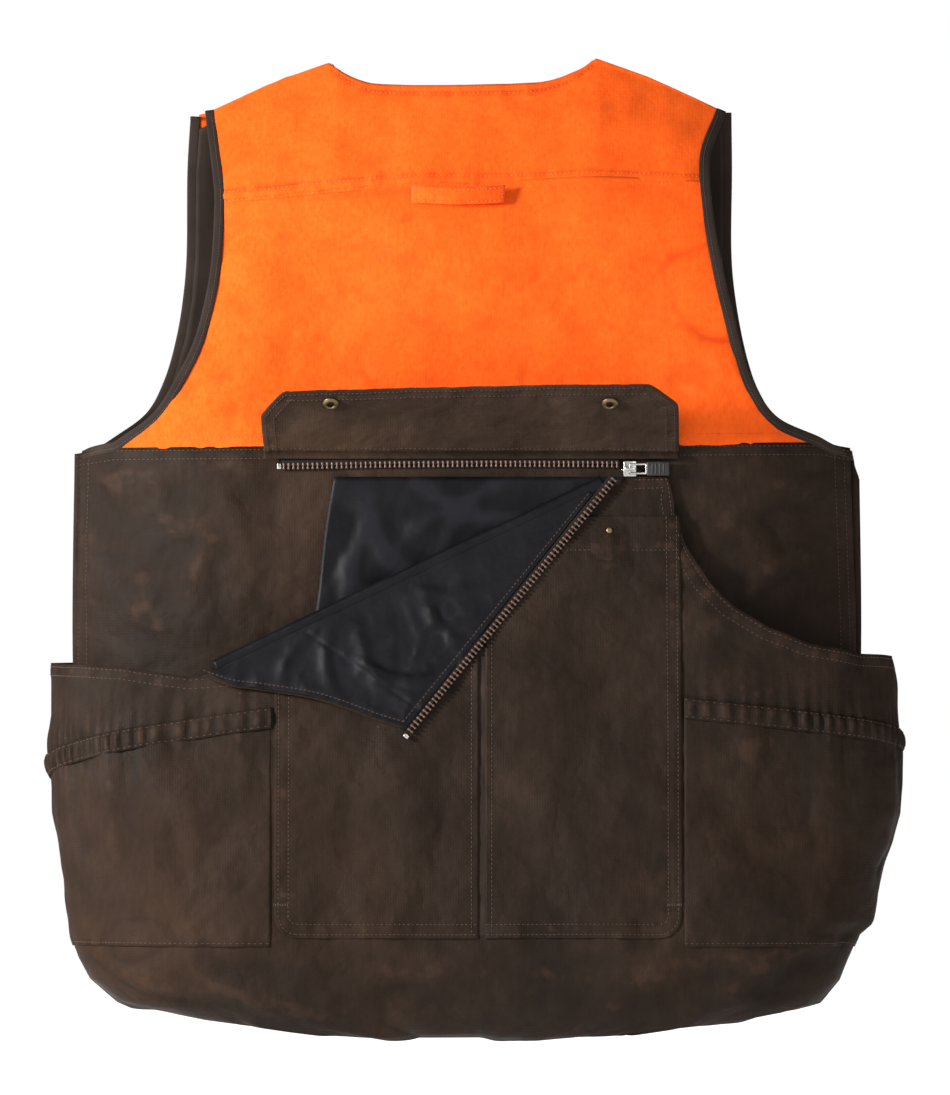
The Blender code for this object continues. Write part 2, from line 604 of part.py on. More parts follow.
FLAP_AXIS = np.array((3.0, -58.6, -294.0))
FLAP_TURN = 125.0
FLAP_IN = 8.1
flap_edge = ((-134, -361), (-60, -364), (60, -368), (134, -369))
flap_grid = patch(lambda x, z: middle(x, z) + plane_normal * FLAP_IN, ((-151, -295), (158, -295)), flap_edge,
                  ((-151, -295), (-153, -337), (-134, -361)), ((158, -295), (157, -349), (134, -369)),
                  np.linspace(0, 1, 9), (0, 0.35, 0.7, 1))
flap = cloth("storm_flap", flap_grid, 0.0, 1.4, (0, -1, 0), WAXED)
flap_parts = [flap]
for side, hand, x in ((-1, "left", SNAP_X[0]), (1, "right", SNAP_X[1])):
    seat = middle(x, STUD_Z) + plane_normal * (FLAP_IN - 0.3)
    flap_parts.append(turned(f"flap_snap_socket_{hand}", SOCKET, seat, -plane_normal, (1, 0, 0), BRASS, **METAL))
    seat = middle(x, STUD_Z) + plane_normal * (FLAP_IN + 1.4 + 0.3)
    flap_parts.append(turned(f"flap_snap_cap_{hand}", CAP, seat, plane_normal, (1, 0, 0), BRASS, **METAL))
for made in flap_parts:
    turn_mesh(made, FLAP_AXIS, (-1, 0, 0), FLAP_TURN)

# ---- The slider of the bag zip and its pull

def solid_union(name, boxes, colour, **kind):
    """Boxes that overlap, joined into one body by Booleans."""
    made = block(name, *boxes[0], colour, **kind)
    for k, (low, high) in enumerate(boxes[1:]):
        more = block(f"{name}_join_{k}", low, high, colour)
        more.hide_render = True
        more.display_type = "WIRE"
        joint = made.modifiers.new(f"join_{k}", "BOOLEAN")
        joint.operation = "UNION"
        joint.solver = "EXACT"
        joint.object = more
    return made


SLIDE_L, SLIDE_R = 117.0, 126.0
out = CHAIN_Y - 2.8
bag_slider = solid_union("bag_zip_slider", (
    ((SLIDE_L, out, ZIP_Z - 5.8), (SLIDE_R, out + 1.2, ZIP_Z + 5.8)),
    ((SLIDE_L, CHAIN_Y + 1.6, ZIP_Z - 5.8), (SLIDE_R, CHAIN_Y + 2.8, ZIP_Z + 5.8)),
    ((SLIDE_L - 2.2, out, ZIP_Z - 1.2), (SLIDE_L + 0.6, CHAIN_Y + 2.8, ZIP_Z + 0.1 - 0.1)),
    ((SLIDE_L + 0.6, out - 3.0, ZIP_Z - 1.2), (SLIDE_L + 1.8, out + 0.6, ZIP_Z + 1.2)),
    ((SLIDE_R - 1.8, out - 3.0, ZIP_Z - 1.2), (SLIDE_R - 0.6, out + 0.6, ZIP_Z + 1.2)),
    ((SLIDE_L + 0.6, out - 3.1, ZIP_Z - 1.2), (SLIDE_R - 0.6, out - 2.2, ZIP_Z + 1.2)),
), NICKEL, rough=0.3, metal=1.0)
PULL_X, PULL_Y = 121.5, out - 1.1
link = solid_union("bag_pull_link", (
    ((PULL_X - 0.6, PULL_Y - 0.6, ZIP_Z - 4.0), (PULL_X + 0.6, PULL_Y + 0.6, ZIP_Z + 4.0)),
    ((PULL_X - 0.6, PULL_Y - 0.6, ZIP_Z - 4.0), (PULL_X + 13.0, PULL_Y + 0.6, ZIP_Z - 2.6)),
    ((PULL_X - 0.6, PULL_Y - 0.6, ZIP_Z + 2.6), (PULL_X + 13.0, PULL_Y + 0.6, ZIP_Z + 4.0)),
    ((PULL_X + 11.4, PULL_Y - 0.6, ZIP_Z - 4.0), (PULL_X + 13.0, PULL_Y + 0.6, ZIP_Z + 4.0)),
), NICKEL, rough=0.3, metal=1.0)
grip = block("bag_pull_grip", (PULL_X + 13.4, PULL_Y - 1.2, ZIP_Z - 5.4), (PULL_X + 29.4, PULL_Y + 1.2, ZIP_Z + 5.4),
             RUBBER, rough=0.6)

# ---- The front zip, its slider and its pull

FRONT_Y = FRONT_DEPTH + SHELL_H + CLOTH / 2
for side, hand in ((-1, "left"), (1, "right")):
    comb(f"{hand}_front_zip_chain", -699.0, -163.0, side * 3.6, side * 0.25, side * 5.6, 2.6, 0.8, 6.0, FRONT_Y,
         0.6, TEETH, along_z=True)
TOP_Z = -166.0
front_out = FRONT_Y + 2.8
slider_boxes = (
    ((-5.8, FRONT_Y + 1.6, TOP_Z - 9), (5.8, front_out, TOP_Z)),
    ((-5.8, FRONT_Y - 2.8, TOP_Z - 9), (5.8, FRONT_Y - 1.6, TOP_Z)),
    ((-0.16, FRONT_Y - 2.8, TOP_Z - 0.6), (0.16, front_out, TOP_Z + 4.2)),
    ((-1.2, front_out - 0.6, TOP_Z - 1.8), (1.2, front_out + 3.1, TOP_Z - 0.6)),
    ((-1.2, front_out - 0.6, TOP_Z - 8.4), (1.2, front_out + 3.1, TOP_Z - 7.2)),
    ((-1.2, front_out + 2.2, TOP_Z - 8.4), (1.2, front_out + 3.1, TOP_Z - 0.6)),
)
solid_union("front_zip_slider", slider_boxes, NICKEL, rough=0.3, metal=1.0)
FP_Z, FP_Y = TOP_Z - 4.5, front_out + 1.1
front_pull = solid_union("front_zip_pull", (
    ((-4.0, FP_Y - 0.6, FP_Z - 0.6), (4.0, FP_Y + 0.6, FP_Z + 0.6)),
    ((-4.0, FP_Y - 0.6, FP_Z - 13), (-2.6, FP_Y + 0.6, FP_Z + 0.6)),
    ((2.6, FP_Y - 0.6, FP_Z - 13), (4.0, FP_Y + 0.6, FP_Z + 0.6)),
    ((-4.0, FP_Y - 0.6, FP_Z - 30), (4.0, FP_Y + 0.6, FP_Z - 11.6)),
), NICKEL, rough=0.3, metal=1.0)

# ---- Front bellows pockets: a face and gusset in one tray, open at the top, under a snapped flap

POCKET_OUT = 22.0
FACE_Y = FRONT_DEPTH + SHELL_H + CLOTH + 0.4


def flange(x):
    return body_depth(x, -540) - FRONT_DEPTH + 0.4


for side, hand in ((-1, "left"), (1, "right")):
    # Cross-section of the tray from one flange over the face to the other, in (x, depth).
    xs = ((42, 0), (48, 0), (49, POCKET_OUT - 3), (53, POCKET_OUT), (187, POCKET_OUT), (191, POCKET_OUT - 3),
          (192, flange(192)), (198, flange(198) - 0.3))
    rows = []
    for z, squash in ((-452, 1.0), (-560, 1.0), (-618, 1.0), (-624, 0.85), (-626, 0.04)):
        rows.append([(side * x, FACE_Y + 0.6 + max(d, 0) * squash + min(d, 0), z) for x, d in xs])
    rows.append([(side * x, FACE_Y + 0.6 + max(d, 0) * 0.02 + min(d, 0), -634) for x, d in xs])
    outer = np.array(rows, float)
    shrink = outer.copy()
    for j in range(outer.shape[0]):
        for i in range(outer.shape[1]):
            x, d = xs[i]
            inside = 1.0 if 2 <= i <= 5 else 0.0
            shrink[j, i, 0] -= side * inside * (-1.0 if x < 120 else 1.0)
            shrink[j, i, 1] -= 1.0 if j < 3 or i < 2 or i > 5 else 0.9
            shrink[j, i, 2] += 1.2 if j >= 3 and inside and j < 5 else 0.0
    shift = 1.2
    outer[:, :, 1] += shift
    shrink[:, :, 1] += shift
    between(f"{hand}_front_pocket", shrink, outer, WAXED)
    hinge = np.array((side * 120.0, FACE_Y + 3.6, -436.0))
    face = FACE_Y + POCKET_OUT + shift + 5.2
    line = ((-436, FACE_Y + 4.6), (-443, FACE_Y + 12), (-448, face - 4), (-453, face), (-512, face + 0.6))
    grid = np.array([[(side * x, y, z) for x in (44, 60, 120, 180, 192)] for z, y in line], float)
    grid[-1, 0, 2] += 14
    grid[-1, -1, 2] += 14
    flap_made = cloth(f"{hand}_pocket_flap", grid, 0.0, 1.4, (0, 1, 0), WAXED)
    set_origin(flap_made, hinge)
    seat = np.array((side * 120.0, face + 0.1, -498.0))
    set_origin(turned(f"{hand}_pocket_snap_socket", SOCKET, seat, (0, -1, 0), (1, 0, 0), BRASS, **METAL), hinge)
    seat = np.array((side * 120.0, face + 2.6, -498.0))
    set_origin(turned(f"{hand}_pocket_snap_cap", CAP, seat, (0, 1, 0), (1, 0, 0), BRASS, **METAL), hinge)
    seat = np.array((side * 120.0, FACE_Y + 0.6 + POCKET_OUT + shift + 0.3, -498.0))
    SHORT = ((4.8, 0.0), (4.8, 0.5), (2.0, 0.6), (1.5, 1.6))
    turned(f"{hand}_pocket_snap_stud", SHORT, seat, (0, 1, 0), (1, 0, 0), BRASS, **METAL)
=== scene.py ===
"""The look of the vest: cloth, stitching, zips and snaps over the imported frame, in a pale studio.

Lengths are in millimetres until a mesh is made. X runs to the wearer's right, Z up, and the back faces -Y.
"""

import math

import bmesh
import bpy
import numpy as np
from mathutils import Matrix, Vector, kdtree


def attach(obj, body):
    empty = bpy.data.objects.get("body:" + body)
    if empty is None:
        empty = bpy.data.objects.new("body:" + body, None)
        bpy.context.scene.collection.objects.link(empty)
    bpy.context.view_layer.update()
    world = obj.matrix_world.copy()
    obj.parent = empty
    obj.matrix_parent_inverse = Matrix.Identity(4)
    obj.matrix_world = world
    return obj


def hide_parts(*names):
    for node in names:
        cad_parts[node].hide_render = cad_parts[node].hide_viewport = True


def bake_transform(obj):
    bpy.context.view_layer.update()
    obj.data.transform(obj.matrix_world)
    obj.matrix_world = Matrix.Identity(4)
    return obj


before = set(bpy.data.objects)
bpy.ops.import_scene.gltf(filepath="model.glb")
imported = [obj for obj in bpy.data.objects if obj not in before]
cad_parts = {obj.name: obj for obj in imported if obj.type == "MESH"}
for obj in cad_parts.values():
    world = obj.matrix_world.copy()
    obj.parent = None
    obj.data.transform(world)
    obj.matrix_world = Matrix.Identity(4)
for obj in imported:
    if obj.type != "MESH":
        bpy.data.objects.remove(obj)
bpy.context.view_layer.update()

MM = 0.001
CLOTH = 0.7  # thickness of one layer
SHELL_H = 1.6  # from the body's own surface to its outer cloth
ZIP_Z = -303.0
CHAIN_Y = -56.0
PITCH = 3.6  # of the zip teeth
FOLD_H = 3.9  # from the bag to the axis of the corner's fold
FLAP_IN = 8.1  # from the bag to the inner face of the shut flap
POCKET_TOP = -338.0
BACKWARD = (0.0, -1.0, 0.0)
FORWARD = (0.0, 1.0, 0.0)

# ---- Camera

camera = bpy.data.objects.new("camera", bpy.data.cameras.new("camera"))
bpy.context.scene.collection.objects.link(camera)
bpy.context.scene.camera = camera
camera.location = (0.006, -8.0, -0.3617)
camera.rotation_euler = (math.pi / 2, 0, 0)
camera.data.sensor_fit = "HORIZONTAL"
camera.data.sensor_width = 36.0
camera.data.lens = 36.0 * 7.94 / 0.70775
camera.data.clip_end = 50.0
bpy.context.scene.view_settings.view_transform = "Standard"

# ---- Noise and lines


def lattice(i, j, seed):
    """A fixed pseudo-random value from -1 to 1 at each whole point."""
    h = (i * 374761393 + j * 668265263 + seed * 144269504) & 0x7FFFFFFF
    h = ((h ^ (h >> 13)) * 1274126177) & 0x7FFFFFFF
    return ((h ^ (h >> 16)) & 0xFFFF) / 32767.5 - 1.0


def noise(x, z, size, seed):
    u, v = x / size, z / size
    i, j = np.floor(u).astype(np.int64), np.floor(v).astype(np.int64)
    f, g = u - i, v - j
    f, g = f * f * (3 - 2 * f), g * g * (3 - 2 * g)
    low = (1 - f) * lattice(i, j, seed) + f * lattice(i + 1, j, seed)
    high = (1 - f) * lattice(i, j + 1, seed) + f * lattice(i + 1, j + 1, seed)
    return (1 - g) * low + g * high


def noise_along(x, size, seed):
    return noise(x, x * 0, size, seed)


def fbm(x, z, size, seed, octaves=3):
    total = np.zeros(np.broadcast(x, z).shape)
    for k in range(octaves):
        total = total + noise(x + 31.7 * k, z - 17.3 * k, size / 2**k, seed + k) / 2**k
    return total


def curve(line, per=8):
    """The line rounded off through its own points."""
    p = np.array(line, float)
    p = np.vstack([2 * p[0] - p[1], p, 2 * p[-1] - p[-2]])
    t = np.linspace(0, 1, per, endpoint=False)[:, None]
    out = []
    for a, b, c, d in zip(p[:-3], p[1:-2], p[2:-1], p[3:]):
        square, cube = a - 2.5 * b + 2 * c - 0.5 * d, 1.5 * (b - c) + 0.5 * (d - a)
        out.append(b + 0.5 * t * (c - a) + t**2 * square + t**3 * cube)
    return np.vstack([*out, p[-2][None]])


def lengths(line):
    return np.r_[0, np.cumsum(np.linalg.norm(np.diff(line, axis=0), axis=1))]


def walk(line, t):
    """Points at shares t of the line's length."""
    line = np.array(line, float)
    far = lengths(line)
    return np.stack([np.interp(t * far[-1], far, line[:, k]) for k in range(line.shape[1])], -1)


def offset(line, by):
    """The line moved sideways, to its left when by is positive."""
    p = np.array(line, float)
    d = np.gradient(p, axis=0)
    d /= np.linalg.norm(d, axis=1)[:, None] + 1e-9
    return p + by * np.stack([-d[:, 1], d[:, 0]], -1)


def shift(line, dx, dz):
    return [(x + dx, z + dz) for x, z in line]


def near(x, z, line):
    """(distance to the line, distance along it) for each point."""
    p = np.array(line, float)
    best = np.full(x.shape, 1e9)
    along = np.zeros(x.shape)
    far = lengths(p)
    for k in range(len(p) - 1):
        d = p[k + 1] - p[k]
        t = np.clip(((x - p[k, 0]) * d[0] + (z - p[k, 1]) * d[1]) / (d @ d + 1e-9), 0, 1)
        away = np.hypot(x - p[k, 0] - t * d[0], z - p[k, 1] - t * d[1])
        along = np.where(away < best, far[k] + t * np.hypot(*d), along)
        best = np.minimum(best, away)
    return best, along


def patch(top, bottom, left, right, size):
    """(x, z) grids over a patch of cloth bounded by four lines."""
    top, bottom = np.array(top, float), np.array(bottom, float)
    left = np.vstack([top[0], np.array(left, float)[1:-1], bottom[0]])
    right = np.vstack([top[-1], np.array(right, float)[1:-1], bottom[-1]])

    def shares(*lines):
        return np.linspace(0, 1, max(max(int(lengths(line)[-1] / size), 4) + 1 for line in lines))

    us, vs = shares(top, bottom), shares(left, right)
    a, b = walk(top, us)[None], walk(bottom, us)[None]
    c, d = walk(left, vs)[:, None], walk(right, vs)[:, None]
    u, v = us[None, :, None], vs[:, None, None]
    flat = (1 - v) * ((1 - u) * top[0] + u * top[-1]) + v * ((1 - u) * bottom[0] + u * bottom[-1])
    grid = (1 - v) * a + v * b + (1 - u) * c + u * d - flat
    return grid[..., 0], grid[..., 1]


# ---- The surfaces that the cloth follows


def width_at(z):
    rows = (-700, -676, -650, -620, -560, -440, -291, 50)
    return np.interp(z, rows, (236, 246, 268, 281, 290, 291, 288, 288))


def body_depth(x, z):
    u = np.minimum(np.abs(x) / width_at(z), 1.0)
    side = 1.0 - np.maximum(0.0, (u - 0.55) / 0.45) ** 2.2
    shoulder = np.interp(np.abs(x), (0, 98, 150, 196), (4, 2, -17, -38))
    drop = np.clip((shoulder - z) / 150.0, 0.0, 1.0)
    return 0.5 + 49.5 * side * (1.0 - (1.0 - drop) ** 2) * np.interp(z, (-710, -600), (0.84, 1.0))


def point(x, y, z):
    return np.stack(np.broadcast_arrays(x, y, z), -1).astype(float)


def back(x, z):
    return point(x, -body_depth(x, z), z)


def front(x, z):
    return point(x, body_depth(x, z), z)


def bag_plane(z):
    return 54.95 + 0.12 * (ZIP_Z - z)


def bag_out(z):
    turn = np.clip((-655.0 - z) / 72.0, 0.0, 1.0)
    return np.where(z > -655.0, bag_plane(z), 58.5 + (bag_plane(-655.0) - 58.5) * np.sqrt(1.0 - turn**2))


def middle(x, z):
    return point(x, -bag_out(z), z)


BAG_ROWS = (-726, -714, -704, -699, -683, -667, -648, -640, -560, -500, -440, -300)
BAG_RIGHT = (112, 205, 247, 263, 276, 282, 291, 300, 320, 319, 318, 316)
BAG_LEFT = (112, 212, 250, 262, 281, 288, 292, 293, 308, 311, 311, 310)
BAG_ROUND = 230.0  # cloth from the flat middle round to each side seam
FLAT_RIGHT, FLAT_LEFT = 163.0, 147.0


def bag_side(z, right):
    """Half width, the part of it that is flat, and the angle at which the seam meets the body."""
    wide = np.where(right, np.interp(z, BAG_ROWS, BAG_RIGHT), np.interp(z, BAG_ROWS, BAG_LEFT))
    flat = np.minimum(155.0, 0.8 * wide) + np.where(right, 8.0, -8.0)
    seam = np.minimum(width_at(z) + 2.5, wide * 0.998)
    return wide, flat, np.pi - np.arcsin(np.minimum((seam - flat) / (wide - flat), 1.0))


def bag(s, z):
    """The bag at s: x over its flat middle, then the way round each side."""
    right = s > 0
    side = np.where(right, 1.0, -1.0)
    edge = np.where(right, FLAT_RIGHT, FLAT_LEFT)
    wide, flat, last = bag_side(z, right)
    turn = np.clip((np.abs(s) - edge) / BAG_ROUND, 0.0, 1.0) * last
    deep = (bag_out(z) - 1.0) / (1.0 - np.cos(last))
    y = -(1.0 - deep * np.cos(last)) - deep * np.cos(turn)
    x = np.where(np.abs(s) < edge, np.abs(s) * flat / edge, flat + (wide - flat) * np.sin(turn))
    return point(side * x, y, z)


def on_bag(*line):
    """The line with s in place of the x seen from behind."""
    found = []
    for x, z in line:
        edge = FLAT_RIGHT if x > 0 else FLAT_LEFT
        if abs(x) > edge:
            wide, flat, last = (float(part) for part in bag_side(z, x > 0))
            turn = math.asin(min((abs(x) - flat) / (wide - flat), 1.0))
            x = math.copysign(edge + BAG_ROUND * turn / last, x)
        found.append((x, z))
    return found


# The corner of the mouth turns about this line, and the storm flap about FLAP_AXIS.
FOLD_AT = np.array((117.0, -304.7))
FOLD_TURN = math.radians(25.4)
FOLD_DIR = np.array((-math.cos(FOLD_TURN), -math.sin(FOLD_TURN)))
PLANE_NORMAL = np.array((0, -1.0, 0.12)) / math.hypot(1.0, 0.12)
FOLD_AXIS = np.array((FOLD_DIR[0], 0.12 * FOLD_DIR[1], FOLD_DIR[1]))
FOLD_AXIS /= np.linalg.norm(FOLD_AXIS)
FOLD_SIDE = np.cross(PLANE_NORMAL, FOLD_AXIS)
FOLD_SIDE *= math.copysign(1.0, FOLD_SIDE[2])
FOLD_CENTRE = middle(*FOLD_AT) + PLANE_NORMAL * FOLD_H
FLAP_AXIS = np.array((3.0, -58.6, -294.0))


def fold_point(along, off):
    at = FOLD_AT + FOLD_DIR * along + np.array((FOLD_DIR[1], -FOLD_DIR[0])) * off
    return (float(at[0]), float(at[1]))


def spin(points, centre, axis, degrees):
    c, s = math.cos(math.radians(degrees)), math.sin(math.radians(degrees))
    p = np.asarray(points, float) - centre
    axis = np.array(axis, float)
    return p * c + np.cross(axis, p) * s + (p @ axis)[..., None] * axis * (1 - c) + centre


def mouth_turn(points):
    return spin(points, FOLD_CENTRE, FOLD_AXIS, 180.0)


def flap_turn(points):
    return spin(points, FLAP_AXIS, (-1, 0, 0), 125.0)


# ---- Materials


class Look:
    """A material's nodes, added one at a time."""

    def __init__(self, name):
        self.material = bpy.data.materials.new(name)
        self.material.use_nodes = True
        self.tree = self.material.node_tree
        self.shader = self.tree.nodes["Principled BSDF"]
        self.place = self.tree.nodes.new("ShaderNodeTexCoord").outputs["Object"]

    def put(self, socket, value):
        if isinstance(value, bpy.types.NodeSocket):
            self.tree.links.new(value, socket)
        elif value is not None:
            socket.default_value = (*value, 1.0) if socket.type == "RGBA" else value

    def node(self, kind, **values):
        made = self.tree.nodes.new(kind)
        for name, value in values.items():
            self.put(made.inputs[name.replace("_", " ")], value)
        return made

    def noise(self, scale, detail=3.0, stretch=None, rough=0.5):
        at = self.place
        if stretch is not None:
            at = self.node("ShaderNodeMapping", Vector=at, Scale=stretch).outputs[0]
        made = self.node("ShaderNodeTexNoise", Vector=at, Scale=scale, Detail=detail, Roughness=rough)
        return made.outputs["Fac"]

    def ramp(self, value, *stops):
        made = self.node("ShaderNodeValToRGB", Fac=value)
        marks = made.color_ramp.elements
        while len(marks) < len(stops):
            marks.new(0.5)
        for mark, (at, colour) in zip(marks, stops):
            mark.position = at
            mark.color = (*colour, 1.0) if hasattr(colour, "__len__") else (colour, colour, colour, 1.0)
        return made.outputs["Color"]

    def span(self, value, low, high):
        return self.ramp(value, (0.3, low), (0.7, high))

    def share(self, name, most):
        """How far a point is raised or sunk, from 0 to most."""
        made = self.node("ShaderNodeAttribute")
        made.attribute_name = name
        return self.ramp(made.outputs["Fac"], (0.0, 0.0), (1.0, most))

    def mix(self, share, a, b, how="MIX"):
        made = self.node("ShaderNodeMix")
        made.data_type = "RGBA"
        made.blend_type = how
        for k, value in ((0, share), (6, a), (7, b)):
            self.put(made.inputs[k], value)
        return made.outputs[2]

    def maths(self, how, a, b=0.0):
        made = self.node("ShaderNodeMath")
        made.operation = how
        self.put(made.inputs[0], a)
        self.put(made.inputs[1], b)
        return made.outputs[0]

    def weave(self, pitch):
        """Over and under threads of this pitch in metres, seen from in front."""
        ways = []
        for way in "XZ":
            scale = math.pi / 10 / pitch
            made = self.node("ShaderNodeTexWave", Vector=self.place, Scale=scale, Distortion=0.6, Detail=1.0)
            made.bands_direction = way
            ways.append(made.outputs["Fac"])
        return self.maths("MULTIPLY", *ways)

    def bumps(self, *layers):
        """Bump from (height, distance, strength) layers, each over the one before."""
        normal = None
        for height, distance, strength in layers:
            made = self.node("ShaderNodeBump", Height=height, Distance=distance, Strength=strength,
                             Normal=normal)
            normal = made.outputs["Normal"]
        return normal

    def done(self, colour, rough, normal, **values):
        for name, value in {"Base Color": colour, "Roughness": rough, "Normal": normal, **values}.items():
            self.put(self.shader.inputs[name.replace("_", " ")], value)
        return self.material


def scaled(colour, by):
    return tuple(by * c for c in colour)


def orange_cotton():
    look = Look("orange_cotton")
    base = look.ramp(look.noise(9.0, 4.0), (0.3, (0.86, 0.09, 0.004)), (0.55, (0.9, 0.115, 0.008)),
                     (0.75, (0.94, 0.14, 0.014)))
    slub = look.span(look.noise(340.0, 2.0, stretch=(1.0, 1.0, 0.6)), (0.8, 0.07, 0.004), (1.0, 0.2, 0.03))
    base = look.mix(0.22, base, slub)
    fleck = look.maths("MULTIPLY", look.noise(700.0, 2.0), 0.3)
    base = look.mix(fleck, base, (1.0, 0.24, 0.05), "SOFT_LIGHT")
    # Painted shade: the orange is darkened where the cloth is sunk.
    base = look.mix(look.share("sunk", 0.8), base, (0.62, 0.045, 0.003))
    normal = look.bumps((look.weave(0.0011), 0.00025, 0.35), (look.noise(420.0, 3.0), 0.0004, 0.3),
                        (look.noise(13.0, 2.0), 0.016, 0.6))
    return look.done(base, look.span(look.noise(60.0), 0.78, 0.92), normal, Sheen_Weight=0.08,
                     Sheen_Roughness=0.4, Sheen_Tint=(1.0, 0.35, 0.1), Specular_IOR_Level=0.12)


def waxed_cotton(name, light):
    look = Look(name)

    def tone(*colour):
        return scaled(colour, light)

    base = look.ramp(look.noise(11.0, 5.0, rough=0.6), (0.3, tone(0.014, 0.0084, 0.0056)),
                     (0.5, tone(0.0205, 0.0125, 0.0083)), (0.72, tone(0.031, 0.0185, 0.012)))
    base = look.mix(look.ramp(look.noise(5.0, 3.0), (0.5, 0.0), (0.75, 0.45)), base, tone(0.05, 0.024, 0.013))
    slub = look.span(look.noise(240.0, 2.0, stretch=(1.0, 1.0, 0.3)), 0.4, 0.62)
    base = look.mix(0.45, base, slub, "OVERLAY")
    patches = look.ramp(look.noise(70.0, 4.0), (0.4, 0.1), (0.6, 1.0))
    wear = look.maths("MULTIPLY", look.share("raised", 1.0), patches)
    base = look.mix(look.ramp(wear, (0.35, 0.0), (1.0, 0.22)), base, tone(0.085, 0.045, 0.028))
    # Painted shade: the waxed cotton is darkened where the cloth is sunk.
    base = look.mix(look.share("sunk", 0.55), base, tone(0.012, 0.008, 0.006))
    crease = look.maths("ABSOLUTE", look.maths("SUBTRACT", look.noise(13.0, 4.0, rough=0.55), 0.5))
    normal = look.bumps((look.weave(0.0012), 0.0004, 0.45), (look.noise(170.0, 4.0, rough=0.65), 0.0014, 0.4),
                        (look.maths("MINIMUM", crease, 0.1), 0.014, 0.5), (look.noise(19.0, 2.0), 0.014, 0.6))
    return look.done(base, look.span(look.noise(18.0, 4.0), 0.5, 0.72), normal, Specular_IOR_Level=0.08)


def dark_cloth(name, low, high, rough, sheen, weave, crumple=0.002):
    look = Look(name)
    base = look.span(look.noise(30.0, 4.0), low, high)
    # Painted highlight on the raised parts of the cloth, and painted shade in its sunk parts.
    base = look.mix(look.share("raised", 0.4), base, scaled(high, 2.6))
    base = look.mix(look.share("sunk", 0.5), base, scaled(low, 0.3))
    normal = look.bumps((look.weave(weave), 0.0002, 0.4), (look.noise(220.0, 3.0), 0.0006, 0.3),
                        (look.noise(24.0, 3.0), crumple, 0.5))
    return look.done(base, look.span(look.noise(40.0, 3.0), rough - 0.08, rough + 0.08), normal,
                     Sheen_Weight=sheen, Sheen_Roughness=0.4, Specular_IOR_Level=0.14)


def thread(name, colour):
    look = Look(name)
    base = look.mix(look.noise(300.0), colour, scaled(colour, 0.55))
    normal = look.bumps((look.noise(2600.0, 1.0, stretch=(1.0, 1.0, 0.4)), 0.0002, 0.6))
    return look.done(base, look.span(look.noise(500.0), 0.45, 0.7), normal)


def metal(name, low, high, rough):
    look = Look(name)
    base = look.span(look.noise(90.0, 4.0), low, high)
    gloss = look.span(look.noise(400.0, 4.0), rough, rough + 0.2)
    return look.done(base, gloss, look.bumps((look.noise(900.0, 2.0), 0.0001, 0.25)), Metallic=1.0)


def plastic(name, low, high, rough):
    look = Look(name)
    base = look.span(look.noise(150.0, 3.0), low, high)
    gloss = look.span(look.noise(300.0, 3.0), rough - 0.07, rough + 0.1)
    return look.done(base, gloss, look.bumps((look.noise(1400.0, 2.0), 0.0001, 0.3)))


LOOKS = {
    "orange": orange_cotton(),
    "waxed": waxed_cotton("waxed_cotton", 1.0),
    # A lighter copy of the waxed cotton: painted light on the storm flap's tilted face.
    "flap": waxed_cotton("lit_waxed_cotton", 1.75),
    "lining": dark_cloth("lining_cotton", (0.018, 0.012, 0.009), (0.03, 0.02, 0.015), 0.8, 0.03, 0.0008),
    "binding": dark_cloth("binding_twill", (0.018, 0.012, 0.009), (0.03, 0.019, 0.014), 0.7, 0.04, 0.0012),
    "nylon": dark_cloth("coated_nylon", (0.0034, 0.0031, 0.0042), (0.0064, 0.006, 0.0079), 0.4, 0.0, 0.0007,
                        0.006),
    "tape": dark_cloth("zip_tape", (0.008, 0.006, 0.005), (0.016, 0.011, 0.009), 0.75, 0.1, 0.0009),
    "brown_thread": thread("brown_thread", (0.075, 0.036, 0.02)),
    "orange_thread": thread("orange_thread", (0.95, 0.16, 0.02)),
    "teeth": plastic("zip_plastic", (0.085, 0.045, 0.032), (0.14, 0.078, 0.056), 0.38),
    "rubber": plastic("pull_rubber", (0.008, 0.007, 0.006), (0.016, 0.014, 0.012), 0.5),
    "brass": metal("antique_brass", (0.11, 0.075, 0.042), (0.24, 0.17, 0.095), 0.34),
    "nickel": metal("nickel", (0.5, 0.48, 0.45), (0.68, 0.66, 0.62), 0.22),
}

# ---- Meshes and cloth


def make(name, points, faces, look, values=None):
    points = np.asarray(points, float).reshape(-1, 3) * MM
    mesh = bpy.data.meshes.new(name)
    mesh.from_pydata(points.tolist(), [], faces.tolist() if isinstance(faces, np.ndarray) else faces)
    mesh.polygons.foreach_set("use_smooth", np.ones(len(mesh.polygons), bool))
    mesh.update()
    for key, data in (values or {}).items():
        attribute = mesh.attributes.new(key, "FLOAT", "POINT")
        attribute.data.foreach_set("value", np.asarray(data, np.float32).ravel())
    mesh.materials.append(LOOKS[look])
    made = bpy.data.objects.new(name, mesh)
    bpy.context.scene.collection.objects.link(made)
    return made


def settle(made, body, nodes, slot=None):
    """The piece on its body, in place of its CAD nodes."""
    if body is not None:
        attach(made, body)
    if nodes:
        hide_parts(*nodes)
    slot or nodes[0]
    return made


def solid(node, points, faces, look, body="vest", slot=None):
    """A piece in place of the node of the same name, unless a slot says that it stands for none."""
    return settle(make(f"visual_{node}", points, faces, look), body, [] if slot else [node], slot)


def quads_of(rows, cols, flip=False, start=0):
    a = (np.arange(rows - 1)[:, None] * cols + np.arange(cols - 1)).ravel() + start
    faces = np.stack([a, a + 1, a + cols + 1, a + cols], -1)
    return faces[:, ::-1] if flip else faces


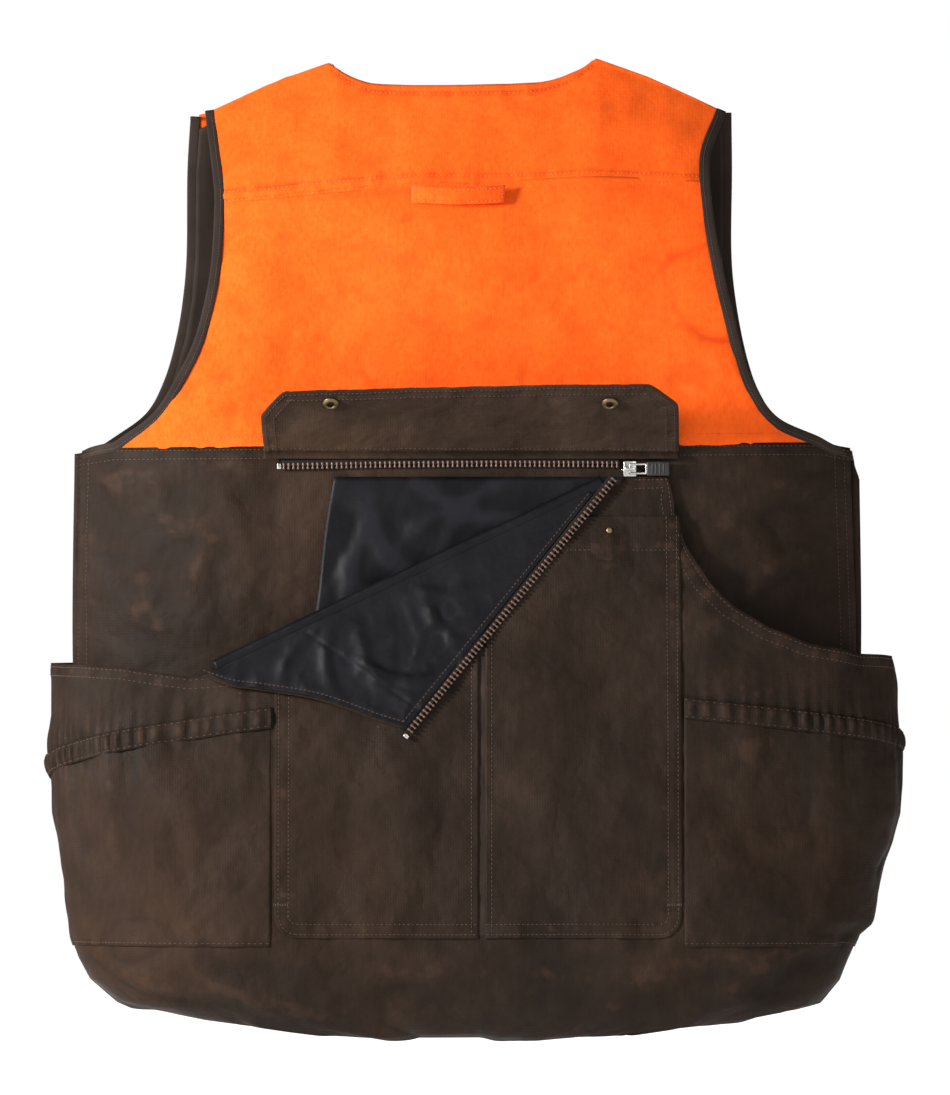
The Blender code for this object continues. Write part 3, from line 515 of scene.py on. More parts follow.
def closed_faces(outer, inner):
    """Faces, turned outwards, of a sheet made of an outer grid followed by an inner one."""
    rows, cols = outer.shape[:2]
    half = rows * cols
    rim = [*range(cols), *(j * cols + cols - 1 for j in range(1, rows))]
    rim += [(rows - 1) * cols + i for i in range(cols - 2, -1, -1)]
    rim += [j * cols for j in range(rows - 2, 0, -1)]
    rim = np.array(rim)
    after = np.roll(rim, -1)
    side = np.stack([rim, half + rim, half + after, after], -1)
    faces = np.vstack([quads_of(rows, cols), quads_of(rows, cols, True, half), side])
    way = np.cross(outer[0, 1] - outer[0, 0], outer[1, 0] - outer[0, 0])
    return faces if way @ (outer[0, 0] - inner[0, 0]) > 0 else faces[:, ::-1]


def tube_faces(rings, sides, start=0):
    """Faces round a tube of this many rings."""
    ring, k = np.divmod(np.arange((rings - 1) * sides), sides)
    a, b = ring * sides + k + start, ring * sides + (k + 1) % sides + start
    return np.stack([a, b, b + sides, a + sides], -1)


def capped_tube_faces(rings, sides):
    ends = (list(range(sides - 1, -1, -1)), list(range((rings - 1) * sides, rings * sides)))
    return [*tube_faces(rings, sides).tolist(), *ends]


def normals_of(grid, outward):
    n = np.cross(np.gradient(grid, axis=1), np.gradient(grid, axis=0))
    n /= np.linalg.norm(n, axis=2, keepdims=True) + 1e-9
    return -n if (n * np.array(outward)).sum() < 0 else n


def declare(made, grid, held, rests_on=()):
    """Works out the width, length and area of the sheet's own surface, and keeps none of them."""
    wide = np.linalg.norm(np.diff(grid, axis=1), axis=2).sum(axis=1).max() * MM
    long = np.linalg.norm(np.diff(grid, axis=0), axis=2).sum(axis=0).max() * MM
    a, b = grid[1:, 1:] - grid[:-1, :-1], grid[1:, :-1] - grid[:-1, 1:]
    area = 0.5 * np.linalg.norm(np.cross(a, b), axis=2).sum() * MM * MM
    if held == "gathered":
        area *= GATHER
        wide *= GATHER
    wide, long = max(round(wide, 3), 0.01), max(round(long, 3), 0.01)
    list(rests_on)


GATHER = 1.15  # the share of extra cloth in an elastic casing


def blur(values, size):
    for axis in (0, 1):
        for _ in range(2):
            ends = [(size + 1, size) if a == axis else (0, 0) for a in (0, 1)]
            total = np.cumsum(np.pad(values, ends, "edge"), axis)
            count = values.shape[axis]
            high = np.take(total, np.arange(2 * size + 1, 2 * size + 1 + count), axis)
            values = (high - np.take(total, np.arange(count), axis)) / (2 * size + 1)
    return values


def shades(relief, size, full):
    """The raised and sunk shares that tint both faces of a sheet: painted shade in the sunk parts, and wear or
    a painted highlight on the raised ones.
    """
    smooth = relief - blur(relief, size)
    return {"raised": np.tile(np.clip(smooth / full, 0, 1).ravel(), 2),
            "sunk": np.tile(np.clip(-smooth / full, 0, 1).ravel(), 2)}


def cloth(node, xz, place, low, look="waxed", body="vest", thick=CLOTH, relief=0.0, out=BACKWARD, normal=None,
          held="hung", rests_on=(), turn=None, joint=None, edge=0.5, nodes=None, slot=None):
    """A closed sheet over a surface. relief lifts both its faces, and edge thins its rim."""
    x, z = xz
    base = place(x, z)
    n = normals_of(base, out) if normal is None else np.broadcast_to(np.array(normal, float), base.shape)
    relief = np.broadcast_to(relief, x.shape)
    rows, cols = (np.minimum(np.arange(count), count - 1 - np.arange(count)) for count in x.shape)
    rim = np.minimum(rows[:, None], cols)
    full = np.where(rim == 0, edge, np.where(rim == 1, 0.85 + 0.15 * edge, 1.0)) * thick / 2
    outer = base + n * (low + thick / 2 + full + relief)[..., None]
    inner = base + n * (low + thick / 2 - full + relief)[..., None]
    if turn is not None:
        outer, inner = turn(outer), turn(inner)
    made = make(f"visual_{node}", np.concatenate([outer.reshape(-1, 3), inner.reshape(-1, 3)]),
                closed_faces(outer, inner), look, shades(relief, 2, 0.4))
    if joint is not None:
        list(joint)
        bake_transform(made)
    settle(made, None if joint is not None else body, [node] if nodes is None else nodes, slot)
    declare(made, outer, held, rests_on)
    return {"x": x, "z": z, "outer": outer, "inner": inner, "body": body}


# ---- Relief of the cloth


def folds(x, z, items):
    """Soft ridges and hollows, each from one point to another, (x, z, x, z, width, height)."""
    total = np.zeros(x.shape)
    for x0, z0, x1, z1, width, height in items:
        d = np.array((x1 - x0, z1 - z0), float)
        t = ((x - x0) * d[0] + (z - z0) * d[1]) / (d @ d)
        off = (-(x - x0) * d[1] + (z - z0) * d[0]) / np.hypot(*d)
        off = off + 0.12 * np.hypot(*d) * np.sin(np.clip(t, 0, 1) * math.pi) * np.sign(height)
        taper = np.clip(1.15 - np.abs(2 * t - 1), 0, 1) ** 0.7
        total = total + height * taper * np.exp(-((off / width) ** 2))
    return total


def seams(x, z, rows, deep=0.3, pucker=0.22):
    """Grooves along sewn lines with the small puckers that thread pulls up."""
    total = np.zeros(x.shape)
    for k, row in enumerate(rows):
        away, along = near(x, z, row)
        wave = noise_along(along, 7.5, 5 + k) + 0.5 * noise_along(along, 3.4, 14 + k)
        total = total - deep * np.exp(-((away / 1.5) ** 2)) + pucker * wave * np.exp(-((away / 7.0) ** 2))
    return total


def hem(x, z, line, width, high):
    """The raised band of a folded edge."""
    return high * np.clip((width - near(x, z, line)[0]) / 1.6 + 0.5, 0, 1)


STITCHES = {}


def sew(piece, rows, colour="brown_thread", pitch=3.3, length=2.5, face=1):
    """Stitches along lines given in the piece's own (x, z)."""
    grid, other = (piece["outer"], piece["inner"])[::face]
    x, z = piece["x"], piece["z"]
    tree = kdtree.KDTree(x.size)
    for k, (a, b) in enumerate(zip(x.ravel().tolist(), z.ravel().tolist())):
        tree.insert((a, b, 0.0), k)
    tree.balance()
    du, dv = (np.gradient(grid, axis=axis).reshape(-1, 3) for axis in (1, 0))
    jacobians = np.array([[np.gradient(part, axis=axis).ravel() for axis in (1, 0)] for part in (x, z)])
    away = (grid - other).reshape(-1, 3)
    flat = grid.reshape(-1, 3)
    for row in rows:
        line = np.array(row, float)
        far = lengths(line)
        at = np.arange(pitch / 2, far[-1], pitch)
        spots, ahead = (np.stack([np.interp(at + by, far, part) for part in line.T], -1) for by in (0, 0.5))
        for spot, way in zip(spots, ahead - spots):
            _, k, gap = tree.find((*spot, 0.0))
            jacobian = jacobians[..., k]
            if gap > 4.0 or np.hypot(*way) < 1e-6 or abs(np.linalg.det(jacobian)) < 1e-6:
                continue
            step = np.linalg.solve(jacobian, spot - (x.flat[k], z.flat[k]))
            run = np.linalg.solve(jacobian, way)
            centre = flat[k] + step[0] * du[k] + step[1] * dv[k]
            tangent = run[0] * du[k] + run[1] * dv[k]
            normal = np.cross(du[k], dv[k])
            normal *= math.copysign(1.0, normal @ away[k]) / (np.linalg.norm(normal) + 1e-9)
            tangent /= np.linalg.norm(tangent) + 1e-9
            STITCHES.setdefault((piece["body"], colour), []).append((centre, tangent * length / 2, normal))


def sew_all():
    """Each body's stitches of one thread as one mesh of small spindles."""
    stations = ((-1.0, 0.25, -0.25), (-0.6, 0.85, 0.06), (0.0, 1.0, 0.16), (0.6, 0.85, 0.06),
                (1.0, 0.25, -0.25))
    caps = ((0, 5, 4, 3), (0, 3, 2, 1), (27, 28, 29, 24), (25, 26, 27, 24))
    one = np.vstack([tube_faces(5, 6), caps])
    for (body, colour), items in STITCHES.items():
        centre, tangent, normal = (np.array(part) for part in zip(*items))
        side = np.cross(normal, tangent)
        side /= np.linalg.norm(side, axis=1)[:, None] + 1e-9
        rings = []
        for along, fat, up in stations:
            for k in range(6):
                a = math.pi * k / 3
                rings.append(centre + tangent * along + side * (0.32 * fat * math.cos(a))
                             + normal * (up + 0.26 * fat * math.sin(a)))
        points = np.stack(rings, 1).reshape(-1, 3)
        quads = (one[None] + 30 * np.arange(len(items))[:, None, None]).reshape(-1, 4)
        made = make(f"{colour}_on_{body}", points, quads, colour)
        settle(made, body, [], "back_yoke" if "orange" in colour else "back_lower")


def turned(profile, centre, axis, sides=36):
    """(points, quads) of a turned shape, from (radius, height) pairs."""
    axis = np.array(axis, float) / np.linalg.norm(axis)
    side = np.cross(axis, (1.0, 0.0, 0.0))
    side /= np.linalg.norm(side)
    other = np.cross(axis, side)
    angle = np.linspace(0, 2 * math.pi, sides, endpoint=False)[:, None]
    around = side * np.cos(angle) + other * np.sin(angle)
    rings = [centre + axis * h + max(r, 0.02) * around for r, h in profile]
    return np.vstack(rings), tube_faces(len(profile), sides)


def boxes(items, radius):
    """(points, quads) of boxes with rounded edges, each from (low, high)."""
    points, quads = [], []
    for ends in items:
        made = bmesh.new()
        low, high = np.minimum(*ends), np.maximum(*ends)
        size = high - low
        place = Matrix.Translation((low + high) / 2) @ Matrix.Diagonal((*size, 1))
        bmesh.ops.create_cube(made, size=1.0, matrix=place)
        bmesh.ops.bevel(made, geom=made.edges[:], offset=min(radius, 0.45 * size.min()), segments=3,
                        profile=0.5, affect="EDGES", clamp_overlap=True)
        made.verts.ensure_lookup_table()
        quads += [[v.index + len(points) for v in face.verts] for face in made.faces]
        points += [v.co[:] for v in made.verts]
        made.free()
    return np.array(points), quads


# ---- The body of the vest

NECK = ((-104, 1.5), (-90, -8), (-72, -14.5), (-40, -16), (0, -16), (40, -14.5), (62, -12), (84, -4), (97, 5.5))
BACK_TOP = np.vstack([(-190, -34.5), (-166, -22), (-136, -9), curve(NECK), (136, -8.5), (166, -22),
                      (188, -33.5)])
YOKE = curve(((-182, -104), (-144, -101), (-88, -95.5), (-41, -92), (28, -92), (96, -89), (175, -92)))
YOKE_LEFT, YOKE_RIGHT = ((-190, -34.5), (-183, -88)), ((188, -33.5), (176, -65))
UPPER_LEFT = ((-182, -104), (-183, -130), (-186, -162), (-196, -205), (-211, -237), (-230, -266),
              (-262, -289))
UPPER_RIGHT = ((175, -92), (179, -125), (186, -162), (194, -195), (202, -226), (213, -251), (230, -271),
               (262, -285))
LOW_TOP = ((-294.5, -291.5), (-262, -287), (262, -283), (286, -287))
HEM = curve(((-236, -678), (-190, -695), (-120, -703), (0, -706), (120, -703), (190, -695), (236, -678)))
SIDE_L = curve(((-294.5, -291.5), (-296, -440), (-291, -560), (-281, -620), (-262, -655), (-236, -678)))
SIDE_R = curve(((286, -287), (291, -440), (290, -560), (281, -620), (262, -655), (236, -678)))
LINING_H = -1.2


def cotton_relief(x, z, seed):
    return 2.6 * fbm(x, z, 85, seed) + 0.5 * fbm(x, z, 30, seed + 3) + 0.05 * fbm(x, z, 8, seed + 6)


def make_back():
    yoke_edge = shift(YOKE, 0, -1.2)
    x, z = patch(BACK_TOP, yoke_edge, curve((*YOKE_LEFT, (-182, -105))), curve((*YOKE_RIGHT, (175, -93))), 1.8)
    rows = [shift(YOKE, 0, 0.4), shift(YOKE, 0, 7.2), curve([(a * 0.97, b - 6.5) for a, b in NECK])]
    relief = 0.6 * cotton_relief(x, z, 1) + seams(x, z, rows, 0.5, 0.3) + hem(x, z, yoke_edge, 9, 0.35)
    yoke = cloth("back_yoke", (x, z), back, SHELL_H + 0.5, "orange", relief=relief)
    sew(yoke, rows, "orange_thread")
    x, z = patch(shift(YOKE, 0, 4), ((-262, -289), (262, -285)), curve(UPPER_LEFT), curve(UPPER_RIGHT), 2.3)
    rows = [[(-255, -280), (255, -276.5)]]
    relief = cotton_relief(x, z, 21) + seams(x, z, rows, 0.25, 0.4)
    relief += folds(x, z, ((-160, -120, -120, -230, 22, 2.6), (150, -110, 120, -230, 24, 2.4),
                           (-60, -130, -40, -250, 30, 2.0), (80, -110, 60, -250, 34, -1.6),
                           (-225, -262, -150, -215, 12, 2.2), (215, -252, 150, -205, 12, 2.2),
                           (-170, -180, -110, -270, 16, -1.5), (182, -180, 130, -265, 16, -1.5)))
    fade = np.clip((near(x, z, YOKE)[0] - 4) / 24, 0, 1) * np.clip((z + 288) / 26, 0, 1)
    upper = cloth("back_upper", (x, z), back, SHELL_H, "orange", relief=np.clip(relief, -1.2, 5.0) * fade)
    sew(upper, rows, "orange_thread")
    x, z = patch(LOW_TOP, HEM, SIDE_L, SIDE_R, 3.0)
    rows = [offset(SIDE_L, 5), offset(SIDE_L, 12), offset(SIDE_R, -5), offset(SIDE_R, -12)]
    rows += [shift(LOW_TOP, 0, -2.5), shift(LOW_TOP, 0, -9)]
    relief = 2.4 * fbm(x, z, 60, 31) + 0.3 * fbm(x, z, 18, 34)
    relief += folds(x, z, ((-262, -312, -170, -352, 9, 1.5), (-250, -345, -160, -330, 8, 1.1),
                           (-275, -380, -190, -420, 11, 1.5), (-170, -330, -205, -430, 9, 1.3),
                           (-240, -360, -215, -440, 10, 1.3), (262, -312, 180, -360, 9, 1.4),
                           (270, -360, 200, -410, 10, 1.3), (240, -330, 215, -420, 10, 1.2)))
    relief = relief * np.clip(near(x, z, LOW_TOP)[0] / 20, 0, 1) + seams(x, z, rows, 0.25, 0.2)
    most = np.interp(np.abs(x), (140, 200), (0.7, 3.2))
    low = cloth("back_lower", (x, z), back, SHELL_H + 0.25, relief=np.clip(relief, -0.5, most))
    sew(low, rows)


def make_linings():
    left = [(-190, -38), (-183, -88), *UPPER_LEFT[1:], (-278, -304), *shift(SIDE_L[1:], 8, 0)]
    right = [(188, -37), (176, -65), (176, -92), *UPPER_RIGHT[1:-1], (262, -283), (276, -300)]
    right += shift(SIDE_R[1:], -8, 0)
    low = [(-228, -678), *shift(HEM[1:-1], 0, 5), (228, -678)]
    x, z = patch(shift(BACK_TOP, 0, -9), low, left, right, 5.0)
    cloth("back_lining", (x, z), back, LINING_H, "lining", thick=0.6, relief=0.15 * fbm(x, z, 40, 41))
    inner = [(a, b) for a, b in curve(NECK) if abs(a) < 96]
    first, last = inner[:1], inner[-1:]
    x, z = patch(shift(inner, 0, -3), [(a * 0.98, b - 24) for a, b in inner], first + shift(first, 1, -24),
                 last + shift(last, -1, -24), 2.5)
    facing = cloth("neck_facing", (x, z), back, -3.4, "orange", relief=0.12 * fbm(x, z, 20, 43))
    sew(facing, [[(a * 0.97, b - 20) for a, b in inner]], "orange_thread", face=-1)


def make_loop():
    """The locker loop bows out from its two sewn ends."""
    start, length = -41, 69
    t = np.linspace(0, 1, 40)
    along = start + length * t
    bow = 7.0 * np.sin(math.pi * t) ** 0.8
    x, z = np.meshgrid(along, np.linspace(-91.5, -104.5, 12))

    def place(x, z):
        sag = 1.6 * np.sin(math.pi * (x - start) / length)
        return point(x, -52.9 - np.interp(x, along, bow), z - sag)

    rows = [[(-40, at), (27, at)] for at in (-93.5, -102.5)]
    loop = cloth("locker_loop", (x, z), place, 0.1, "orange", thick=1.2, edge=0.3,
                 relief=seams(x, z, rows, 0.2, 0.1) + 0.1 * fbm(x, z, 9, 47))
    sew(loop, rows, "orange_thread")
    tacks = [at + 0.35 * k - 0.7 for at in (-39.5, 26.5) for k in range(5)]
    sew(loop, [[(at, -92), (at, -104)] for at in tacks], "orange_thread", 1.6, 1.3)


ARM_FRONTS = {
    "right": ((-192, -35), (-193, -80), (-193, -140), (-197, -180), (-205, -220), (-215, -248), (-231, -270),
              (-262, -286)),
    "left": ((-201, -38), (-204, -80), (-205, -140), (-208, -175), (-213, -205), (-222, -237), (-237, -265),
             (-266, -287)),
}
V_NECK = ((-98, -3), (-84, -52), (-52, -110), (-10, -152), (-6, -160), (-6, -288))
FRONT_TOP = ((-166, -22), (-136, -8.5), (-100, 0), (-98, -3))
LOW_FRONT = ((-288, -291.5), (-262, -287), (-6, -288.4))
HEM_FRONT = ((-236, -676), (-190, -693), (-120, -701), (-6, -703))


def make_front(side, hand):
    def wing(*line):
        return [(-side * a, b) for a, b in line]

    def wings(*lines):
        return [wing(*line) for line in lines]

    arm = ARM_FRONTS[hand]
    top = (arm[0], *FRONT_TOP)
    x, z = patch(*wings(top, (arm[-1], (-6, -288)), curve(arm), V_NECK), 2.8)
    rows = wings(shift(V_NECK[:4], -8, -3), ((-13, -160), (-13, -284)))
    relief = 0.6 * cotton_relief(x, z, 50 + side) + seams(x, z, rows)
    upper = cloth(f"{hand}_front_upper", (x, z), front, SHELL_H, "orange", relief=np.clip(relief, -0.6, 0.5),
                  out=FORWARD)
    sew(upper, rows, "orange_thread")
    x, z = patch(*wings(LOW_FRONT, HEM_FRONT, SIDE_L, ((-6, -288.4), (-6, -703))), 3.0)
    rows = wings(shift(LOW_FRONT, 0, -3), shift(LOW_FRONT, 0, -9), ((-13, -292), (-13, -698)),
                 shift(HEM_FRONT, 0, 12))
    relief = np.clip(0.3 * fbm(x, z, 60, 54 + side), -0.3, 0.3) + seams(x, z, rows, 0.25, 0.1)
    low = cloth(f"{hand}_front_lower", (x, z), front, SHELL_H, relief=np.clip(relief, -0.5, 0.35),
                out=FORWARD)
    sew(low, rows)
    outside = ((arm[0][0], -45), *arm[1:], (-277, -304), *shift(SIDE_L[1:], 8, 0))
    x, z = patch(*wings(shift(top, 0, -9), ((-228, -676), (-190, -688), (-120, -696), (-6, -698)), outside,
                        (*V_NECK[:-1], (-6, -700))), 5.0)
    cloth(f"{hand}_front_lining", (x, z), front, LINING_H, "lining", thick=0.6, relief=0.12 * fbm(x, z, 40, 58),
          out=FORWARD)
    # The shoulder patch is quilted in slanting rows.
    x, z = patch(*wings(((-184, -44), (-100, -12)), ((-182, -186), (-66, -186)),
                        ((-184, -44), (-183, -100), (-188, -150), (-188, -186)),
                        ((-100, -12), (-92, -50), (-60, -118), (-60, -186))), 2.0)
    quilt = 1.2 * np.abs(np.sin((z + 0.35 * np.abs(x)) / 13.0 * math.pi)) ** 0.7
    rim = np.clip(blur(np.pad(np.ones([n - 2 for n in x.shape]), 1), 2), 0, 1) ** 2
    cloth(f"{hand}_shoulder_patch", (x, z), front, SHELL_H + CLOTH + 0.9, "orange", thick=0.9,
          relief=(quilt + 0.1) * rim, out=FORWARD)


BINDING_SIDES = 16


def make_binding(side, hand):
    """The bound armhole: back edge, round under the arm, and up the front edge."""
    yoke, upper = (YOKE_RIGHT, UPPER_RIGHT) if side > 0 else (YOKE_LEFT, UPPER_LEFT)
    back_line = np.vstack([curve((*yoke, upper[0])), curve(upper)[2:]])
    front_line = np.array([(side * abs(a), b) for a, b in curve(ARM_FRONTS[hand])])[::-1]
    bend = np.array(((271, -290.5), (279, -292.5), (285, -294.5), (288.5, -296.5))) * (side, 1)
    path = np.vstack([back(*back_line.T), back(*bend.T), front(*bend[::-1].T), front(*front_line.T)])
    far = lengths(path)
    at = np.linspace(0, far[-1], int(far[-1] / 2.2))
    path = np.stack([np.interp(at, far, path[:, k]) for k in range(3)], -1)
    for _ in range(4):
        path[1:-1] = 0.25 * path[:-2] + 0.5 * path[1:-1] + 0.25 * path[2:]
    tangent = np.gradient(path, axis=0)
    tangent /= np.linalg.norm(tangent, axis=1)[:, None]
    facing = np.stack([0 * at, np.where(path[:, 1] < 0, -1.0, 1.0), 0 * at], -1)
    under = (np.exp(-((path[:, 1] / 9) ** 2)) * (path[:, 2] < -280))[:, None]
    facing = facing * (1 - under) + under * np.array((side * 1.0, 0, 0.1))
    away = np.cross(tangent, facing)
    away /= np.linalg.norm(away, axis=1)[:, None]
    away *= np.sign((away * (np.array((side * 340.0, 0, -120.0)) - path)).sum(axis=1))[:, None]
    facing = np.cross(away, tangent)
    low = (np.abs(path[:, 1]) < 22) * facing[:, 0] * side * 50
    facing *= np.sign(facing[:, 1] * path[:, 1] + low)[:, None]
    ring = []
    wave = 0.12 * noise_along(at, 8.0, 60)
    for k in range(BINDING_SIDES):
        a = 2 * math.pi * k / BINDING_SIDES
        w = 2.7 + 3.9 * math.copysign(abs(math.cos(a)) ** 0.6, math.cos(a))
        h = 1.75 + 1.25 * math.copysign(abs(math.sin(a)) ** 0.6, math.sin(a))
        h -= 0.22 * math.exp(-(((w - 1.9) / 0.8) ** 2)) * math.sin(a)
        ring.append(path + away * w + facing * (h + wave[:, None]))
    ring = np.array(ring).transpose(1, 0, 2)
    made = solid(f"{hand}_armhole_binding", ring, capped_tube_faces(len(path), BINDING_SIDES), "binding")
    declare(made, ring[:, 2:7], "stretched")
    spots = path + away * 1.9 + facing * 2.95
    for spot, along, up in list(zip(spots, tangent, facing))[3:-4]:
        STITCHES.setdefault(("vest", "brown_thread"), []).append((spot, along * 0.95, up))


# ---- The game bag

FIXED_FOLD = [fold_point(along, -4) for along in (296, 150, 6)]
FOLD_LINE = np.array(sorted(FIXED_FOLD)).T
OPEN_LEFT = [*on_bag((-322, -448), (-290, -449), (-256, -451), (-206, -458), (-170, -456)), (-151, -441)]
OPEN_RIGHT = [(124, -309), (150, -309), (153.5, -322), (155.5, -339), (160, -352),
              *on_bag((170, -371), (182, -389), (200, -406), (226, -422), (256, -434), (293, -441),
                      (317, -443))]
BAG_TOP = [*OPEN_LEFT, (-145.5, -433.6), *FIXED_FOLD[1:], *OPEN_RIGHT]
SEAM_LEFT, SEAM_RIGHT = -377, 393  # the bag's side seams, round from its middle
SIDE_POCKETS = {"left": (SEAM_LEFT, -145.5), "right": (161.5, SEAM_RIGHT)}
POCKET_BOTTOM = -652
BAND_TALL = 16


def bag_relief(x, z):
    """Soft relief that every layer of the bag shares."""
    total = 2.6 * fbm(x, z, 120, 71, 2) + 2.4 * fbm(x, z, 46, 73, 2) + 0.2 * fbm(x, z, 13, 76, 2)
    total = total + folds(x, z, ((-205, -500, -222, -640, 20, 2.6), (-300, -520, -270, -640, 26, -2.2),
                                 (-250, -520, -240, -600, 14, 1.6), (-175, -540, -190, -660, 16, -1.6),
                                 (190, -500, 205, -640, 20, 2.2), (250, -520, 262, -650, 22, 2.6),
                                 (320, -520, 290, -640, 26, -2.2), (225, -560, 228, -660, 14, -1.4),
                                 (-120, -660, 10, -668, 12, 1.5), (40, -672, 150, -662, 12, 1.5),
                                 (-270, -655, -160, -690, 9, 2.4), (280, -655, 190, -690, 9, 2.4),
                                 (-200, -668, -90, -706, 8, 1.6), (230, -668, 100, -706, 8, 1.6),
                                 (60, -480, 100, -600, 40, 1.6), (-80, -500, -60, -620, 40, 1.4),
                                 (165, -380, 186, -470, 12, 1.8)))
    return np.clip(total, -1.4, 6.0)


def faded_relief(x, z):
    """The same relief, gone by the fixed side of the fold."""
    return bag_relief(x, z) * np.clip(near(x, z, FIXED_FOLD)[0] / 40, 0, 1)


def ruffle(x):
    """Small tucks side by side along a gathered edge."""
    swing = np.sin(2 * math.pi * x / 8.6 + 2.4 * noise_along(x, 19, 81))
    return swing * (0.75 + 0.4 * noise_along(x, 13, 82))


def band_z(s):
    """Top of the elastic casing of the side pocket at s."""
    return np.where(s > 0, np.interp(s, (160, 345), (-473, -501)), np.interp(s, (-330, -144), (-519, -480)))


def make_bag():
    bottom = [(SEAM_LEFT, -694), (-340, -702), (-290, -710.5), (-230, -717), (-190, -721), (-147, -724),
              (-60, -727), (60, -726.5), (163, -723), (205, -719), (245, -714), (300, -706), (350, -697),
              (SEAM_RIGHT, -690)]
    x, z = patch(BAG_TOP, bottom, ((SEAM_LEFT, -448), (SEAM_LEFT, -690)),
                 ((SEAM_RIGHT, -443), (SEAM_RIGHT, -690)), 2.4)
    x[:, 0], x[:, -1] = SEAM_LEFT, SEAM_RIGHT
    rows = [offset(line, by) for line in (OPEN_RIGHT, OPEN_LEFT) for by in (-2.5, -9)]
    relief = faded_relief(x, z) + seams(x, z, rows, 0.3, 0.5)
    relief += hem(x, z, OPEN_RIGHT, 10.5, 0.45) + hem(x, z, OPEN_LEFT, 10.5, 0.45)
    gather = np.exp(-np.abs(z - band_z(x)) / BAND_TALL) * ((x > 166) | (x < -152))
    relief += 0.9 * gather * ruffle(x)
    outer = cloth("bag_outer", (x, z), bag, 0.7, relief=np.clip(relief, -1.2, 5.5), rests_on=["back_lower"],
                  nodes=["bag_center_panel", "bag_side_left", "bag_side_right"])
    sew(outer, rows)


def make_side_pocket(hand):
    """The lower side pocket hangs in gathers from its elastic top."""
    ends = SIDE_POCKETS[hand]
    line = np.linspace(*ends, 12)

    def level(by):
        return [(s, band_z(s) - by) for s in line]

    def between(high, low, size):
        return patch(high, low, (high[0], low[0]), (high[-1], low[-1]), size)

    x, z = between(level(9), [(s, -658.0) for s in line], 2.0)
    below = np.maximum(band_z(x) - z, 0)
    relief = bag_relief(x, z) + 0.9 * np.exp(-below / BAND_TALL) * ruffle(x)
    relief += 1.5 * np.exp(-((below - 26) / 60) ** 2) * noise_along(x, 15, 85)
    rows = [[(s, -655.5) for s in ends]]
    relief += seams(x, z, rows, 0.35, 0.5)
    pocket = cloth(f"side_pocket_{hand}", (x, z), bag, 1.7, relief=np.clip(relief, -0.9, 5.8))
    sew(pocket, rows)
    # The casing over the elastic, shirred between its two sewn rows.
    x, z = between(level(0), level(BAND_TALL), 1.3)
    puff = np.sin(math.pi * np.clip((band_z(x) - z) / BAND_TALL, 0, 1))
    relief = bag_relief(x, z) + 1.5 * puff**0.5 + (0.5 + 0.9 * puff) * ruffle(x)
    rows = [level(1.8), level(BAND_TALL - 2.0)]
    relief += seams(x, z, rows, 0.7, 0.2)
    band = cloth(f"elastic_band_{hand}", (x, z), bag, 2.6, thick=1.2, relief=np.clip(relief, -0.9, 7.0),
                 held="gathered", rests_on=[f"side_pocket_{hand}"])
    sew(band, rows, pitch=3.6, length=2.4)


def pocket_corner(x, turn):
    """The rounded lower corner at x, from its vertical side to its bottom."""
    radius = 17
    angle = np.linspace(0, math.pi / 2, 8)
    return [(x + turn * radius * (1 - math.cos(a)), POCKET_BOTTOM + radius * (1 - math.sin(a)))
            for a in angle]


def fold_z(x):
    return float(np.interp(x, *FOLD_LINE))


def rear_pocket(hand, top, outside, inside, ends, tack, hemmed=False):
    """One half of the rear pocket, from outside to the pleat at inside. ends are those of two bottom rows."""
    way = 1 if outside[0][0] < inside else -1
    middle_edge = [(inside, fold_z(inside)), (inside, POCKET_BOTTOM)]
    low = [outside[-1], middle_edge[-1]]
    x, z = patch(top, low[::way], *[outside, middle_edge][::way], 2.0)
    slit = inside + 5.3 * -way
    rows = [offset(outside, 3.0 * way), offset(outside, 10.5 * way)]
    rows += [[(a, at), (b, at)] for (a, b), at in zip(ends, (-649, -641.5))]
    rows.append([(slit, fold_z(slit) - 8), (slit, -648)])
    if hemmed:
        rows.append([(30, -364), (158, -364)])
    lift = 0.9 * np.exp(-((x - inside) / 6) ** 2) * np.clip(np.abs(z - POCKET_BOTTOM) / 60, 0, 1)
    relief = faded_relief(x, z) + seams(x, z, rows, 0.35, 0.45) + lift
    if hemmed:
        relief += 0.4 * np.clip((z + 364) / 1.5, 0, 1)
        relief *= np.clip((np.hypot(x - SNAPS["right"], z - STUD_Z) - 6) / 22, 0, 1)
    piece = cloth(f"rear_pocket_{hand}", (x, z), middle, 1.7, relief=np.clip(relief, -0.8, 5.5),
                  rests_on=["bag_center_panel"])
    sew(piece, rows)
    bars = [tack + 10 * k / 8 for k in range(-4, 5)]
    sew(piece, [[(at, -628.5), (at, -625.5)] for at in bars], pitch=3.0, length=2.8)


def make_rear_pocket():
    left, right = -143, 159
    top = [(left, fold_z(left)), (8.8, fold_z(8.8))]
    rear_pocket("left", top, [top[0], *pocket_corner(left, 1)], 8.8, ((-128, 8), (-124, 8)), -138)
    top = [(13.2, fold_z(13.2)), (38, fold_z(38)), (47, -337.6), (56, POCKET_TOP), (right, POCKET_TOP)]
    rear_pocket("right", top, [(right, POCKET_TOP), (160, -500), *pocket_corner(160, -1)], 13.2,
                ((14, 145), (14, 141)), 154, hemmed=True)
    top = [(5.5, fold_z(7) - 6), (16.5, fold_z(15) - 6)]
    low = [(at, -650) for at, _ in top]
    x, z = patch(top, low, (top[0], low[0]), (top[1], low[1]), 2.0)
    cloth("rear_pocket_pleat", (x, z), middle, 1.45, "lining", thick=0.25,
          relief=np.clip(faded_relief(x, z), -0.8, 5.5), held="folded")


